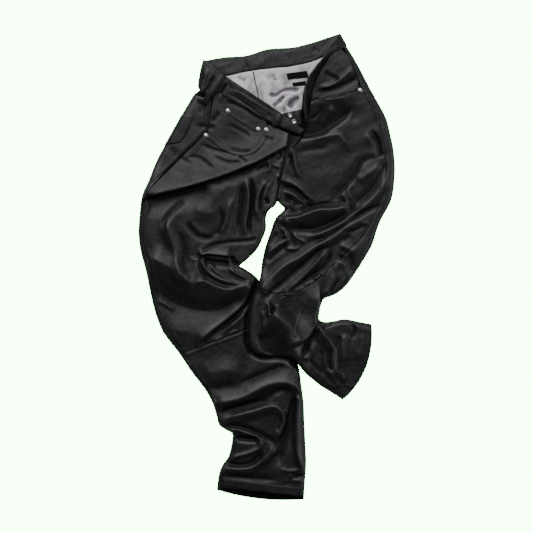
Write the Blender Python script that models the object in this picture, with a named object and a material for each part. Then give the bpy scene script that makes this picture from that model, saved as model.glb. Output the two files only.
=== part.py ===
"""Loose five-pocket jeans in leather, laid down flat on a floor, with the waist open.

The garment lies on its back panels, which are flat on the floor. The front panels lie on them, lofted by
their folds. The wearer's right leg runs straight down (-Y). The left leg bends at the knee, crosses over the
right one, and folds again below the knee before it reaches its hem.

Places on the floor are in millimetres from the middle of the garment, x to the right and y towards the waist.
Heights are in millimetres above the floor. Each panel is a grid of rungs: a rung runs across the cloth from a
left point to a right point, and one table row holds one rung. The height of the cloth comes from its loft, a
table of folds, and the round turn at the garment's outline.
"""
import math
from collections import namedtuple

import bpy
import numpy as np
from mathutils import Vector
from mathutils.bvhtree import BVHTree

MM = 0.001

# Cloth and construction sizes, mm.
WALL = 1.6                # leather with its backing
BAND_WALL = 2.6           # waistband: two layers
LINING_WALL = 1.0
PATCH_WALL = 1.3          # loops, placket and pocket patches
SEAM_GAP = 0.3
EDGE_LIFT = 3.0           # height of the turn at the outline, where the front panel meets the back one
TURN_RADIUS = 13.0        # how far in from the outline a front panel reaches its full height
BACK_TURN = 3.2           # the same for a back panel, which turns up from the floor
LOFT = 12.0               # height of the front panels where no fold lifts them
LOWEST_FRONT = 6.0        # a front panel's top comes no nearer than this to what its back panel lies on
CROSSING_CEILING = 7.4    # the right leg is pressed down to this under the left leg
CROSSING_LIFT = 9.8       # underside of the left leg where it crosses
CROSSING_RAMP = 30.0      # floor length over which the left leg climbs onto the right one
PRESSED_MARGIN = 14.0     # how far outside the left leg the right one is still pressed down
CELL = 18.0               # spacing of the grids
TURN_COLUMNS = (0.0, 1.5, 6.5)   # distances from the outline of a front panel's first grid lines
TURN_ANGLES = (25, 60)                 # where the back panel's turn has its grid lines, degrees
WRAP_SHARES = (1.0, 0.55, 0.2, 0.04, 0.0)   # grid lines of the back panel's wrap onto the top
LEAST_WRAP = 5.0          # the back panel wraps onto the top at least this far
FACING_DROP = 2.4         # a pocket facing lies this much lower than the front panel
HEM_SETBACK = 4.5         # the right leg's front hem lies this much short of the back hem
SEAM_STEP = 2.0           # floor distance over which the slope across a side seam is taken
RIGHT_FRONT_COLUMNS = 14
LEFT_FRONT_COLUMNS = 11
RIGHT_BACK_COLUMNS = 3    # a back panel's grid lines on the floor
LEFT_BACK_COLUMNS = 6
FACING_RIGHT_COLUMNS = 8
FACING_LEFT_COLUMNS = 6
BAND_COLUMNS = 3
LINING_CELL = 12.0
LINING_COLUMNS = 7
COIN_POCKET_COLUMNS = slice(2, 8)       # the facing's grid columns that the coin pocket lies on
BACK_POCKET_COLUMNS = slice(-4, -1)     # the back panel's grid columns that show the back pocket
BACK_POCKET_SPAN = (1.2, 2.4)           # and its rows, as params of the back panel's stations
FLY_COLUMNS = 4                         # the fly flap's width in grid columns
LOOP_ROWS = 10
LOOP_CLEARANCE = 0.5
LOOP_REACH = 0.35         # a belt loop rests on what lies this far round its middle, in widths of the loop
ROUND_SIDES = 12
TOP_CROWN = 0.25
RIVET_DIAMETER = 9.6
BUTTON_DIAMETER = 8.5
RIVET_PROFILE = ((1.0, 0.0), (1.0, 0.7), (0.8, 1.5), (0.4, 2.1))    # shares of the radius, and heights
BUTTON_PROFILE = ((0.45, 0.0), (0.45, 1.6), (1.0, 1.9), (1.0, 3.0), (0.8, 3.4))

# A fold: a path on the floor, its height (below 0 for a trough), its reach to the left and right of the
# path's direction, and the shares of its length over which it fades in and out.
Fold = namedtuple("Fold", "name path height left right fade_in fade_out")

RIGHT_LEG_FOLDS = [
    Fold("hip_lip", ((-253, 139), (-173, 159), (-47, 203), (29, 240), (75, 269)), 10, 46, 3, 0, 0),
    Fold("under_lip", ((-241, 135), (-167, 153), (-43, 197), (33, 235)), -6, 3, 26, 0.1, 0.2),
    Fold("outer_drape", ((-161, 133), (-203, 81), (-185, 11)), 7, 22, 10, 0.2, 0.3),
    Fold("outer_hollow", ((-165, 131), (-209, 89), (-201, 49)), -4, 9, 9, 0.3, 0.3),
    Fold("bowl_left", ((-155, 95), (-145, 61), (-113, 65)), -4, 10, 10, 0.3, 0.1),
    Fold("bowl_right", ((-119, 63), (-97, 75), (-71, 129)), -5, 10, 10, 0.1, 0.3),
    Fold("middle_hollow", ((-47, 131), (-53, 89), (-63, 59)), -5, 10, 10, 0.3, 0.3),
    Fold("inner_ridge", ((-33, 153), (-41, 109), (-31, 61)), 6, 9, 10, 0.3, 0.3),
    Fold("inner_hollow", ((-5, 181), (-31, 145), (-31, 73)), -7, 9, 8, 0.2, 0.3),
    Fold("crotch_ridge", ((-1, 173), (-23, 141), (-19, 107)), 5, 8, 9, 0.3, 0.3),
    Fold("cross_lip", ((-139, 29), (-95, 35), (-45, 29)), 8, 28, 5, 0.15, 0.25),
    Fold("cross_pocket", ((-127, 17), (-101, 5), (-67, 7)), -6, 8, 9, 0.2, 0.3),
    Fold("short_ridge", ((-137, 23), (-133, 1), (-127, -19)), 5, 8, 8, 0.2, 0.4),
    Fold("twin_ridge", ((-133, 21), (-107, -7), (-57, -27)), 5, 8, 10, 0.2, 0.3),
    Fold("long_ridge_outer", ((-251, 39), (-183, -3), (-119, -35)), 11, 30, 18, 0.1, 0.2),
    Fold("long_ridge_inner", ((-135, -31), (-81, -43), (-25, -21)), 8, 22, 14, 0.3, 0.3),
    Fold("below_ridge", ((-217, -69), (-149, -81), (-47, -43)), -5, 10, 16, 0.2, 0.2),
    Fold("knee_swell", ((-209, -107), (-149, -117), (-85, -93)), 5, 26, 26, 0.3, 0.3),
    Fold("knee_ridge_inner", ((-13, -29), (-49, -79), (-93, -125)), 8, 13, 15, 0.2, 0.2),
    Fold("knee_ridge_outer", ((-77, -111), (-119, -149), (-171, -177)), 8, 13, 15, 0.2, 0.1),
    Fold("knee_hollow", ((-39, -35), (-53, -77), (-111, -127)), -6, 10, 10, 0.2, 0.3),
    Fold("knee_seam", ((-171, -175), (-109, -151), (-9, -113)), -2, 6, 6, 0.0, 0.2),
    Fold("shin_swell", ((-137, -213), (-77, -199), (7, -167)), 6, 28, 28, 0.3, 0.3),
    Fold("shin_ridge", ((-105, -253), (-25, -241), (51, -225)), 9, 20, 11, 0.2, 0.3),
    Fold("shin_hollow", ((-95, -297), (-43, -269), (35, -243)), -6, 10, 13, 0.2, 0.3),
    Fold("ankle_ridge", ((-89, -309), (-33, -285), (23, -281)), 7, 10, 12, 0.2, 0.2),
    Fold("ankle_corner", ((15, -281), (43, -305), (11, -355)), 7, 13, 11, 0.2, 0.3),
    Fold("ankle_lip", ((-95, -317), (-51, -321), (-9, -343)), 8, 14, 4, 0.1, 0.3),
    Fold("ankle_pocket", ((-65, -341), (-41, -351), (-13, -349)), -7, 7, 8, 0.2, 0.3),
    Fold("cuff_ridge", ((-7, -345), (-31, -371), (-81, -391)), 7, 12, 9, 0.2, 0.2),
    Fold("cuff_hollow", ((-79, -401), (-23, -395), (27, -353)), -5, 9, 10, 0.2, 0.3),
    Fold("edge_ridge_upper", ((53, -235), (69, -265), (63, -307)), 5, 8, 9, 0.2, 0.3),
    Fold("edge_ridge_lower", ((63, -295), (55, -343), (73, -403)), 6, 10, 12, 0.3, 0.3),
    Fold("edge_hollow", ((43, -309), (35, -365), (21, -399)), -5, 14, 14, 0.3, 0.3),
]

LEFT_LEG_FOLDS = [
    Fold("hip_ridge", ((101, 357), (135, 367), (179, 403)), 5, 9, 9, 0.2, 0.2),
    Fold("hip_crease", ((99, 351), (143, 359), (185, 381)), -5, 9, 9, 0.2, 0.2),
    Fold("pocket_ridge", ((131, 327), (123, 305), (105, 283)), 5, 9, 9, 0.3, 0.3),
    Fold("pocket_step", ((149, 335), (139, 299), (71, 267)), -6, 10, 10, 0.2, 0.2),
    Fold("hip_swell", ((219, 307), (141, 279), (73, 255)), 8, 28, 15, 0.2, 0.2),
    Fold("outer_crease", ((209, 285), (233, 243), (203, 209)), -5, 9, 9, 0.2, 0.2),
    Fold("long_crease", ((211, 217), (167, 177), (111, 125)), -6, 13, 13, 0.2, 0.1),
    Fold("centre_hollow", ((43, 249), (53, 217), (63, 181)), -6, 8, 9, 0.2, 0.3),
    Fold("centre_ridge", ((55, 221), (73, 165), (111, 125)), 7, 15, 11, 0.2, 0.3),
    Fold("crotch_ridge", ((21, 181), (61, 161), (111, 127)), 5, 8, 8, 0.3, 0.3),
    Fold("crotch_hollow", ((35, 133), (47, 127), (63, 121)), -4, 7, 7, 0.3, 0.4),
    Fold("facet", ((127, 131), (149, 133), (171, 141)), 4, 9, 9, 0.3, 0.3),
    Fold("thigh_ridge", ((21, 101), (91, 105), (161, 129)), 8, 13, 11, 0.2, 0.3),
    Fold("thigh_hollow", ((39, 79), (127, 89), (191, 133)), -6, 11, 11, 0.2, 0.3),
    Fold("thin_ridge", ((111, 71), (167, 101), (223, 145)), 4, 7, 7, 0.3, 0.2),
    Fold("diagonal_upper", ((207, 99), (119, 47), (43, -9)), 12, 15, 30, 0.2, 0.1),
    Fold("diagonal_lower", ((55, 1), (19, -27), (-15, -57)), 11, 14, 26, 0.1, 0.2),
    Fold("under_diagonal", ((125, 43), (77, 5), (3, -49)), -8, 10, 10, 0.2, 0.2),
    Fold("second_diagonal", ((107, 27), (79, -7), (47, -37)), 6, 9, 11, 0.3, 0.3),
    Fold("knee_crease", ((127, 39), (125, 19), (113, 1)), -4, 8, 7, 0.3, 0.2),
    Fold("flap_ridge", ((157, 9), (167, -9), (167, -31)), 6, 7, 10, 0.2, 0.3),
    Fold("inseam_ridge", ((33, 69), (47, 51), (9, 31)), 6, 8, 8, 0.3, 0.2),
    Fold("inseam_hollow", ((49, 51), (35, 39), (13, 27)), -4, 7, 7, 0.2, 0.2),
    Fold("shin_edge_ridge", ((-15, -59), (-29, -103), (-31, -157)), 6, 10, 8, 0.2, 0.1),
    Fold("shin_hollow", ((-9, -67), (-21, -109), (-21, -151)), -5, 7, 7, 0.2, 0.3),
    Fold("shin_ridge", ((13, -91), (47, -133), (59, -187)), 10, 17, 15, 0.2, 0.1),
    Fold("shin_lip", ((105, -71), (75, -137), (63, -195)), 11, 3, 28, 0, 0),
    Fold("under_shin_lip", ((109, -73), (79, -139), (69, -195)), -4, 16, 3, 0.1, 0.1),
    Fold("cuff_ridge", ((99, -105), (133, -153), (137, -195)), 8, 12, 13, 0.1, 0.3),
    Fold("cuff_ridge_end", ((135, -187), (147, -209), (155, -231)), 5, 9, 9, 0.3, 0.3),
    Fold("cuff_soft", ((159, -111), (163, -131), (159, -163)), 4, 10, 10, 0.3, 0.3),
]

# One row across a leg: its outline, its side seam on the top, its inner edge below (back) and above (front),
# how far the front panel's rung bows towards the hem, whether the front panel turns under at its inner edge
# (1) or lies open there (0), and how far the back panel's rung bows.
Station = namedtuple("Station", "name outline seam inner front_inner sag turn back_sag", defaults=(0,))

RIGHT_SEAT = [
    Station("waist", (-146, 343), (-110, 331), (-33, 390), None, 0, 0, -8),
    Station("seat_1", (-165, 311), (-114.4, 301), (-25, 349), None, 0, 0),
    Station("seat_2", (-193, 261), (-122, 267), (-13, 289), None, 0, 0),
    Station("seat_3", (-219, 213), (-163, 226.6), (-1, 223), None, 0, 0),
    Station("seat_4", (-236, 171), (-205.8, 184.6), (7, 181), None, 0, 0),
]
RIGHT_HIP_FRONT = [
    Station("pocket", (-181, 283), (-119.8, 267.6), None, (3.6, 283), 42, 0),
    Station("below_pocket", (-207, 235), (-140.6, 245), None, (21, 275.8), 36, 0),
    Station("hip", (-223, 199), (-171.8, 215.6), None, (39, 268.6), 25, 0),
    Station("above_lip", (-240, 165), (-211.8, 175), None, (55, 263), 14, 0),
]
RIGHT_LEG = [
    Station("lip", (-249, 141), (-238, 143), (13, 155), (66, 260.2), 9, 0),
    Station("thigh_1", (-253.8, 105), (-245, 106), (16.2, 139), (42, 217), 8, 0),
    Station("thigh_2", (-256, 75), (-247.4, 75), (18.2, 131), (27, 169), 6, 0),
    Station("crotch", (-255.4, 57), (-247, 57), (15, 125), (17, 127), 4, 0.3),
    Station("thigh_3", (-254, 43), (-245.6, 44), (3.6, 110), (3.6, 110), 2, 1),
    Station("thigh_4", (-250.4, 25), (-241.8, 27), (-1, 95), (-1, 95), 0, 1),
    Station("thigh_5", (-245, 5), (-236.6, 8), (-1.4, 73), (-1.4, 73), 0, 1),
    Station("thigh_6", (-239, -19), (-231, -16.6), (-17, 37), (-17, 37), 0, 1),
    Station("thigh_7", (-233, -49), (-225, -47), (-40, 12.4), (-40, 12.4), 0, 1),
    Station("thigh_8", (-226.6, -77), (-218.6, -74.6), (-53, 1.4), (-53, 1.4), 0, 1),
    Station("thigh_9", (-219, -103), (-211, -100), (-39, -7), (-39, -7), 0, 1),
    Station("thigh_10", (-207, -131), (-199.6, -127), (-16, -26), (-16, -26), 0, 1),
    Station("thigh_11", (-191, -153), (-184, -149), (3, -67), (3, -67), 0, 1),
    Station("knee", (-173, -176), (-166.4, -172.6), (25, -102), (25, -102), 0, 1),
    Station("shin_1", (-151, -209), (-144, -205.6), (47, -157), (47, -157), 0, 1),
    Station("shin_2", (-125, -243), (-117.6, -240), (64, -199), (64, -199), 0, 1),
    Station("shin_3", (-109, -271), (-101.4, -268.6), (70, -237), (70, -237), 0, 1),
    Station("shin_4", (-100.4, -297), (-92.6, -295.4), (74.4, -271), (74.4, -271), 0, 1),
    Station("shin_5", (-95, -316.4), (-87, -315), (75.6, -299), (75.6, -299), 0, 1),
    Station("shin_6", (-81, -327), (-73.4, -325.4), (76.4, -321), (76.4, -321), 0, 1),
    Station("shin_7", (-68.4, -335), (-60.4, -335.4), (77.4, -341), (77.4, -341), 0, 1),
    Station("shin_8", (-70.4, -357), (-62.4, -357.8), (78.4, -363), (78.4, -363), 0, 1),
    Station("shin_9", (-76.4, -380), (-68.6, -381.8), (79.6, -387), (79.6, -387), 0, 1),
    Station("shin_10", (-88, -396), (-80.4, -398.6), (79, -407), (79, -407), 0, 1),
    Station("shin_11", (-95.4, -416), (-87.4, -417.4), (77, -431), (77, -431), 0, 1),
    Station("hem", (-99.6, -446.2), (-91.6, -447), (74.8, -465), (74.8, -465), 0, 1),
]
LEFT_SEAT = [
    Station("waist", (159, 442), (154, 439.4), (-32, 389.8), (145, 433), 0, 0, 13),
    Station("seat_1", (182, 404), (173, 400), (-23.4, 349), (109, 385), 0, 0),
]
LEFT_LEG = [
    Station("pocket", (205, 360), (189, 356), (-17.4, 319), (90.6, 334), 5, 0),
    Station("hip_1", (221, 331), (204.4, 334), (-11.4, 289), (85.6, 307), 2, 0),
    Station("hip_2", (239, 297), (220.4, 301), (-6, 257), (80.4, 278), 0, 0),
    Station("hip_3", (248, 263), (229, 268), (0, 225), (72, 257), 0, 0),
    Station("hip_4", (254.4, 231), (235, 233), (5.6, 197), (51.6, 229), 0, 0),
    Station("hip_5", (257, 193), (237.6, 193), (11.4, 169), (35.4, 185), 0, 0),
    Station("hip_6", (253.4, 149), (235, 153), (17, 141), (23.6, 145), 0, 0),
    Station("arch_1", (246.4, 125), (229, 132), (25, 126.6), (26, 127), 0, 0.4),
    Station("arch_2", (236, 106), (219.6, 112), (35.8, 115.4), (35.8, 115.4), 0, 1),
    Station("arch_3", (229, 93), (213, 98), (26.6, 105.8), (26.6, 105.8), 0, 1),
    Station("thigh_1", (221.6, 75), (205, 81), (16.4, 94), (16.4, 94), 0, 1),
    Station("thigh_2", (212, 45), (189, 57), (7, 67), (7, 67), 0, 1),
    Station("thigh_3", (196, 15.8), (163, 30), (-3.6, 35), (-3.6, 35), 2, 1),
    Station("thigh_4", (177, -14), (141, 10), (-9.8, 5), (-9.8, 5), 6, 1),
    Station("thigh_5", (159, -39), (126, -3), (-13, -21), (-13, -21), 14, 1),
    Station("knee", (141, -53.8), (117.6, -12), (-21, -43), (-21, -43), 24, 1),
    Station("shin_1", (127, -60.2), (114.8, -35), (-29, -62), (-29, -62), 12, 1),
    Station("shin_2", (114.2, -65.8), (109.4, -60.2), (-35, -89), (-35, -89), 4, 1),
    Station("shin_3", (108.2, -81), (107.8, -80), (-36.4, -113), (-36.4, -113), 2, 1),
    Station("shin_4", (105.8, -93), (105.4, -92.6), (-37.4, -141), (-37.4, -141), 0, 1),
    Station("shin_5", (104.8, -99), (104.4, -99), (-30, -168), (-30, -168), 0, 1),
    Station("shin_6", (104.6, -101.8), (104.2, -102), (-9, -177.4), (-9, -177.4), 0, 1),
    Station("shin_7", (105, -104.2), (104.6, -104.6), (21, -179.4), (21, -179.4), 0, 1),
    Station("shin_8", (106.2, -106.2), (105.8, -106.8), (47, -183.4), (47, -183.4), 0, 1),
    Station("lip", (108.2, -108), (107.8, -108.6), (64.2, -197), (64.2, -197), 0, 1),
    Station("cuff_1", (112, -109.8), (111.8, -110.4), (77, -213), (77, -213), 0, 1),
    Station("cuff_2", (122, -110.6), (121.8, -111.2), (91, -225), (91, -225), 0, 1),
    Station("cuff_3", (137, -108.2), (136.8, -108.6), (107, -238), (107, -238), 3, 1, 3),
    Station("cuff_4", (157, -105), (156.8, -105.4), (123, -248), (123, -248), 8, 1, 8),
    Station("cuff_5", (182, -109.6), (181.8, -110), (138, -257.6), (138, -257.6), 13, 1, 13),
    Station("hem", (209.8, -115), (209.6, -115.4), (151.8, -266.2), (151.8, -266.2), 20, 1, 20),
]

# Pieces round the waist are strips: each row runs from a start to an end, with a height at each.
Strip = namedtuple("Strip", "name start start_height end end_height")

WAISTBAND_RIGHT = [
    Strip("turn", (-138.2, 361), 3.2, (-127.2, 413.6), 3.2),
    Strip("turned", (-135.8, 356), 10.0, (-124.6, 411.8), 9.5),
    Strip("side", (-126, 344.4), 13.6, (-109, 401), 13.6),
    Strip("loop", (-99, 345.8), 13.2, (-81, 378.4), 15.0),
    Strip("pocket", (-53, 321.4), 13.0, (-33, 346.4), 16.0),
    Strip("coin", (-21, 304.2), 13.4, (1, 324.2), 16.4),
    Strip("loop_2", (9, 287), 15.0, (29, 305), 17.0),
    Strip("front", (41, 272.6), 17.5, (55, 286.6), 19.0),
    Strip("end", (66, 264.4), 20.0, (74.2, 271.8), 21.0),
]
WAISTBAND_LEFT = [
    Strip("turn", (147.4, 465.8), 3.6, (158.6, 446.6), 4.4),
    Strip("turned", (140.6, 455.8), 12.0, (150, 441.4), 10.4),
    Strip("side", (121, 432.2), 24.0, (133, 431.8), 10.0),
    Strip("pocket", (113.4, 414.6), 29.0, (123, 411.4), 10.2),
    Strip("middle", (97.6, 393.8), 32.0, (107.4, 392.2), 10.6),
    Strip("front_1", (85, 375), 33.0, (97.4, 375), 10.8),
    Strip("front_2", (77.4, 354), 33.0, (91, 354), 10.8),
    Strip("front_3", (75.6, 331), 32.0, (87.8, 333), 12.0),
    Strip("front_4", (76.2, 309), 30.0, (84.6, 310.2), 13.5),
    Strip("end", (79, 289), 26.0, (82.2, 289.8), 16.5),
]
WAISTBAND_BACK = [
    Strip("turn", (-130, 368), 3.6, (-121.8, 410.4), 3.6),
    Strip("turned", (-121, 371.4), 2.7, (-115, 412.6), 2.7),
    Strip("right", (-81, 382.6), 2.7, (-81, 418.2), 2.7),
    Strip("centre", (-33, 392.6), 2.7, (-41, 421), 2.7),
    Strip("left_1", (7, 397.8), 2.7, (3, 434), 2.7),
    Strip("left_2", (51, 402.4), 2.7, (53, 437.8), 2.7),
    Strip("left_3", (91, 411.8), 2.7, (85, 445.4), 2.7),
    Strip("left_4", (115, 422.2), 2.7, (115, 454.6), 2.7),
    Strip("end", (127, 431), 2.7, (140, 461.4), 2.7),
]
FACING_RIGHT = [
    Strip("seam", (-107, 340.2), 0, (-7, 295.4), 0),
    Strip("coin", (-111.8, 303.8), 0, (-2.2, 290.6), 0),
    Strip("mouth", (-117.4, 272.2), 0, (-0.2, 287), 0),
    Strip("tuck", (-118.2, 265.8), 0, (0.2, 280.2), 0),
]
FACING_RIGHT_BOW = (-2, 24, 42, 42)
FACING_LEFT = [
    Strip("tip", (145, 434.2), 0, (151, 431.8), 0),
    Strip("upper", (132.8, 426.6), 0, (163.3, 418.6), 0),
    Strip("middle", (109.4, 391), 0, (176.2, 388), 0),
    Strip("lower", (92.8, 353), 0, (183.3, 367), 0),
    Strip("mouth", (90.6, 337), 0, (185.8, 358), 0),
]
LINING_RIGHT = [
    Strip("top", (-105, 373), 0, (-30.4, 389.4), 0),
    Strip("upper", (-99, 353), 0, (-24.4, 365), 0),
    Strip("middle", (-75, 331), 0, (-19, 339), 0),
    Strip("lower", (-51, 311), 0, (-13.4, 311), 0),
    Strip("tuck", (-39, 291), 0, (-8, 287), 0),
]
LINING_LEFT = [
    Strip("top", (-29, 389.6), 0, (120, 417.4), 0),
    Strip("upper", (-23, 365), 0, (101, 391), 0),
    Strip("middle", (-17.4, 339), 0, (84, 369), 0),
    Strip("lower", (-12, 311), 0, (73, 343), 0),
    Strip("front", (-6.6, 287), 0, (70, 313), 0),
    Strip("tuck", (-1, 267), 0, (67, 289), 0),
]
LINING_LEFT_BOW = (6, 3, 0, 0, 0, 0)
LINING_HEIGHT = 3.2
LINING_FOLDS = [
    Fold("crease_upper", ((9, 339), (29, 351), (69, 357)), 2.2, 5, 8, 0.3, 0.2),
    Fold("crease_lower", ((11, 319), (25, 333), (39, 347)), 1.8, 5, 6, 0.3, 0.3),
    Fold("crease_front", ((43, 319), (55, 331), (67, 347)), 1.8, 6, 6, 0.3, 0.3),
]
BUTTON_STAND = [
    Strip("upper", (33, 305), 0, (70, 314), 0),
    Strip("middle", (43, 292), 0, (70, 297), 0),
    Strip("lower", (51, 279), 0, (69, 285), 0),
]
LABELS = {
    "label_large": ((40, 385.4), (80.6, 390.6), (83.6, 377.8), (43, 373.4)),
    "label_small": ((51.4, 367), (78.2, 370.2), (77, 362.2), (53, 359.8)),
}
LABEL_WALL = 0.8
LABEL_REACH = 9.0         # half the length of lining that a label lies on
BELT_LOOPS = {
    "belt_loop_side": ((-86, 384), (-106, 353), (-125, 324), 11.0),
    "belt_loop_front": ((27.6, 305.8), (21.6, 292.2), (14.2, 277.8), 10.0),
}
RIVETS = {
    "rivet_coin_outer": (-77, 310),
    "rivet_coin_inner": (-16.4, 273.4),
    "rivet_pocket_front": (-0.4, 271.8),
    "rivet_pocket_side": (-121, 261),
    "rivet_left_pocket": (186.6, 351),
}
FLY_BUTTONS = {
    "fly_button_upper": (47, 301.8),
    "fly_button_lower": (55, 288.6),
}

# Where the legs cross: the right leg's inner outline under the left leg, and the left leg's outline over it.
CROSSED_EDGE = ((-35, -7), (-16, -26), (3, -67), (25, -102), (47, -157), (64, -199), (70, -237),
                (74.4, -271))
CROSSING_EDGE = ((-7, 19), (-9.8, 5), (-13, -21), (-21, -43), (-29, -62), (-35, -89), (-37.8, -145),
                 (-30, -168), (-9, -177.4), (21, -179.4), (47, -183.4), (64.2, -197), (89, -224.6),
                 (123, -248))

LEATHER = ("leather", (0.018, 0.018, 0.02), 0.45, 0.0)
LINING = ("lining", (0.55, 0.52, 0.58), 0.4, 0.0)
LABEL = ("label", (0.015, 0.015, 0.016), 0.6, 0.0)
METAL = ("metal", (0.72, 0.72, 0.72), 0.3, 1.0)


def curve_through(points, params):
    """Return the points of a Catmull-Rom curve through points, at params from 0 to len(points) - 1."""
    control = np.asarray(points, float)
    if control.ndim == 1:
        control = control[:, None]
    padded = np.vstack([2 * control[0] - control[1], control, 2 * control[-1] - control[-2]])
    params = np.clip(np.asarray(params, float), 0, len(control) - 1)
    start = np.minimum(params.astype(int), len(control) - 2)
    t = (params - start)[:, None]
    a, b, c, d = (padded[start + k] for k in range(4))
    return 0.5 * (2 * b + (c - a) * t + (2 * a - 5 * b + 4 * c - d) * t ** 2 + (3 * b - a - 3 * c + d) * t ** 3)


def smooth_step(x):
    """Ease from 0 to 1 as x goes from 0 to 1."""
    x = np.clip(x, 0, 1)
    return x * x * (3 - 2 * x)


def measure_from_path(points, path):
    """Return each point's distance from a path, its share of the path's length, and 1 on its left, -1 right."""
    starts, ends = path[:-1], path[1:]
    runs = ends - starts
    lengths = np.maximum(np.hypot(runs[:, 0], runs[:, 1]), 1e-6)
    travelled = np.concatenate([[0], np.cumsum(lengths)])
    distance = np.full(len(points), 1e9)
    share = np.zeros(len(points))
    side = np.ones(len(points))
    for start, run, length, before in zip(starts, runs, lengths, travelled):
        offset = points - start
        along = np.clip(offset @ run / length ** 2, 0, 1)
        away = offset - along[:, None] * run
        gap = np.hypot(away[:, 0], away[:, 1])
        nearer = gap < distance
        distance[nearer] = gap[nearer]
        share[nearer] = ((before + along * length) / travelled[-1])[nearer]
        turn = run[0] * offset[:, 1] - run[1] * offset[:, 0]
        side[nearer] = np.where(turn >= 0, 1, -1)[nearer]
    return distance, share, side


def fold_height(points, fold):
    """Return what one fold adds to the height at each point."""
    path = curve_through(fold.path, np.linspace(0, len(fold.path) - 1, 6 * len(fold.path)))
    reach = max(fold.left, fold.right)
    near = ((points > path.min(0) - reach) & (points < path.max(0) + reach)).all(1)
    height = np.zeros(len(points))
    if not near.any():
        return height
    distance, share, side = measure_from_path(points[near], path)
    across = np.clip(distance / np.where(side > 0, fold.left, fold.right), 0, 1)
    crest = (1 - across ** 2) ** 2
    fade = np.ones(len(share))
    if fold.fade_in:
        fade *= smooth_step(share / fold.fade_in)
    if fold.fade_out:
        fade *= smooth_step((1 - share) / fold.fade_out)
    height[near] = fold.height * crest * fade
    return height


def crossing_lift(points):
    """Return how far the left leg's underside is above the floor."""
    distance, _, side = measure_from_path(points, np.array(CROSSED_EDGE, float))
    inside = -side * distance
    return CROSSING_LIFT * smooth_step((inside + CROSSING_RAMP) / CROSSING_RAMP)


def right_leg_height(points, distance):
    """Return the height of the right leg's top at points that lie distance inside its outline."""
    height = LOFT + sum(fold_height(points, fold) for fold in RIGHT_LEG_FOLDS)
    gap, _, side = measure_from_path(points, np.array(CROSSING_EDGE, float))
    pressed = smooth_step((side * gap + PRESSED_MARGIN) / PRESSED_MARGIN)
    height = np.maximum(height, LOWEST_FRONT)
    height = height + (np.minimum(height, CROSSING_CEILING) - height) * pressed
    return EDGE_LIFT + (height - EDGE_LIFT) * turn_profile(distance)


def left_leg_height(points, distance):
    """Return the height of the left leg's top at points that lie distance inside its outline."""
    height = LOFT + sum(fold_height(points, fold) for fold in LEFT_LEG_FOLDS)
    height = np.maximum(height, LOWEST_FRONT)
    return crossing_lift(points) + EDGE_LIFT + (height - EDGE_LIFT) * turn_profile(distance)


def turn_profile(distance):
    """Return 0 at the outline and 1 a turn radius inside it, along a quarter of an ellipse."""
    return np.sqrt(1 - (1 - np.clip(distance / TURN_RADIUS, 0, 1)) ** 2)


def grid_normals(grid, first_column_beyond=None, last_column_beyond=None):
    """Return the unit normals of a grid of points; the two optional columns continue it past its sides."""
    before = 2 * grid[:, 0] - grid[:, 1] if first_column_beyond is None else first_column_beyond
    after = 2 * grid[:, -1] - grid[:, -2] if last_column_beyond is None else last_column_beyond
    wide = np.concatenate([before[:, None], grid, after[:, None]], axis=1)
    tall = np.concatenate([(2 * wide[0] - wide[1])[None], wide, (2 * wide[-1] - wide[-2])[None]])
    along = tall[2:, 1:-1] - tall[:-2, 1:-1]
    across = tall[1:-1, 2:] - tall[1:-1, :-2]
    normals = np.cross(along, across)
    return normals / np.linalg.norm(normals, axis=2, keepdims=True)


def material(finish):
    """Return the material of a finish, made once."""
    name, colour, roughness, metallic = finish
    made = bpy.data.materials.get(name)
    if made is None:
        made = bpy.data.materials.new(name)
        made.use_nodes = True
        made.diffuse_color = (*colour, 1)
        shader = made.node_tree.nodes["Principled BSDF"]
        shader.inputs["Base Color"].default_value = (*colour, 1)
        shader.inputs["Roughness"].default_value = roughness
        shader.inputs["Metallic"].default_value = metallic
    return made


def add_object(name, points, faces, finish):
    """Add a mesh object from points in millimetres."""
    mesh = bpy.data.meshes.new(name)
    mesh.from_pydata([tuple(MM * float(value) for value in point) for point in points], [], faces)
    mesh.validate()
    mesh.shade_smooth()
    mesh.set_sharp_from_angle(angle=math.radians(40))
    mesh.materials.append(material(finish))
    made = bpy.data.objects.new(name, mesh)
    bpy.context.scene.collection.objects.link(made)
    return made


def add_shell(name, outer, inner, finish):
    """Add the closed wall between an outer and an inner grid of points."""
    rows, columns = outer.shape[:2]
    points = np.concatenate([outer.reshape(-1, 3), inner.reshape(-1, 3)])
    below = rows * columns

    def index(row, column):
        return row * columns + column

    faces = []
    for row in range(rows - 1):
        for column in range(columns - 1):
            a, b = index(row, column), index(row, column + 1)
            c, d = index(row + 1, column + 1), index(row + 1, column)
            faces.append((a, d, c, b))
            faces.append((a + below, b + below, c + below, d + below))
    rim = [index(0, column) for column in range(columns)]
    rim += [index(row, columns - 1) for row in range(1, rows)]
    rim += [index(rows - 1, column) for column in range(columns - 2, -1, -1)]
    rim += [index(row, 0) for row in range(rows - 2, 0, -1)]
    for a, b in zip(rim, rim[1:] + rim[:1]):
        faces.append((a, b, b + below, a + below))
    return add_object(name, points, faces, finish)


def row_params(stations, ends=("outline", "inner", "front_inner")):
    """Return evenly spaced params along a table of stations, about a cell apart where they are furthest."""
    params = []
    for number, (above, under) in enumerate(zip(stations[:-1], stations[1:])):
        steps = [math.dist(getattr(above, end), getattr(under, end)) for end in ends
                 if getattr(above, end) is not None and getattr(under, end) is not None]
        count = max(1, round(max(steps) / CELL))
        params += [number + step / count for step in range(count)]
    return np.array(params + [len(stations) - 1.0])


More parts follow.
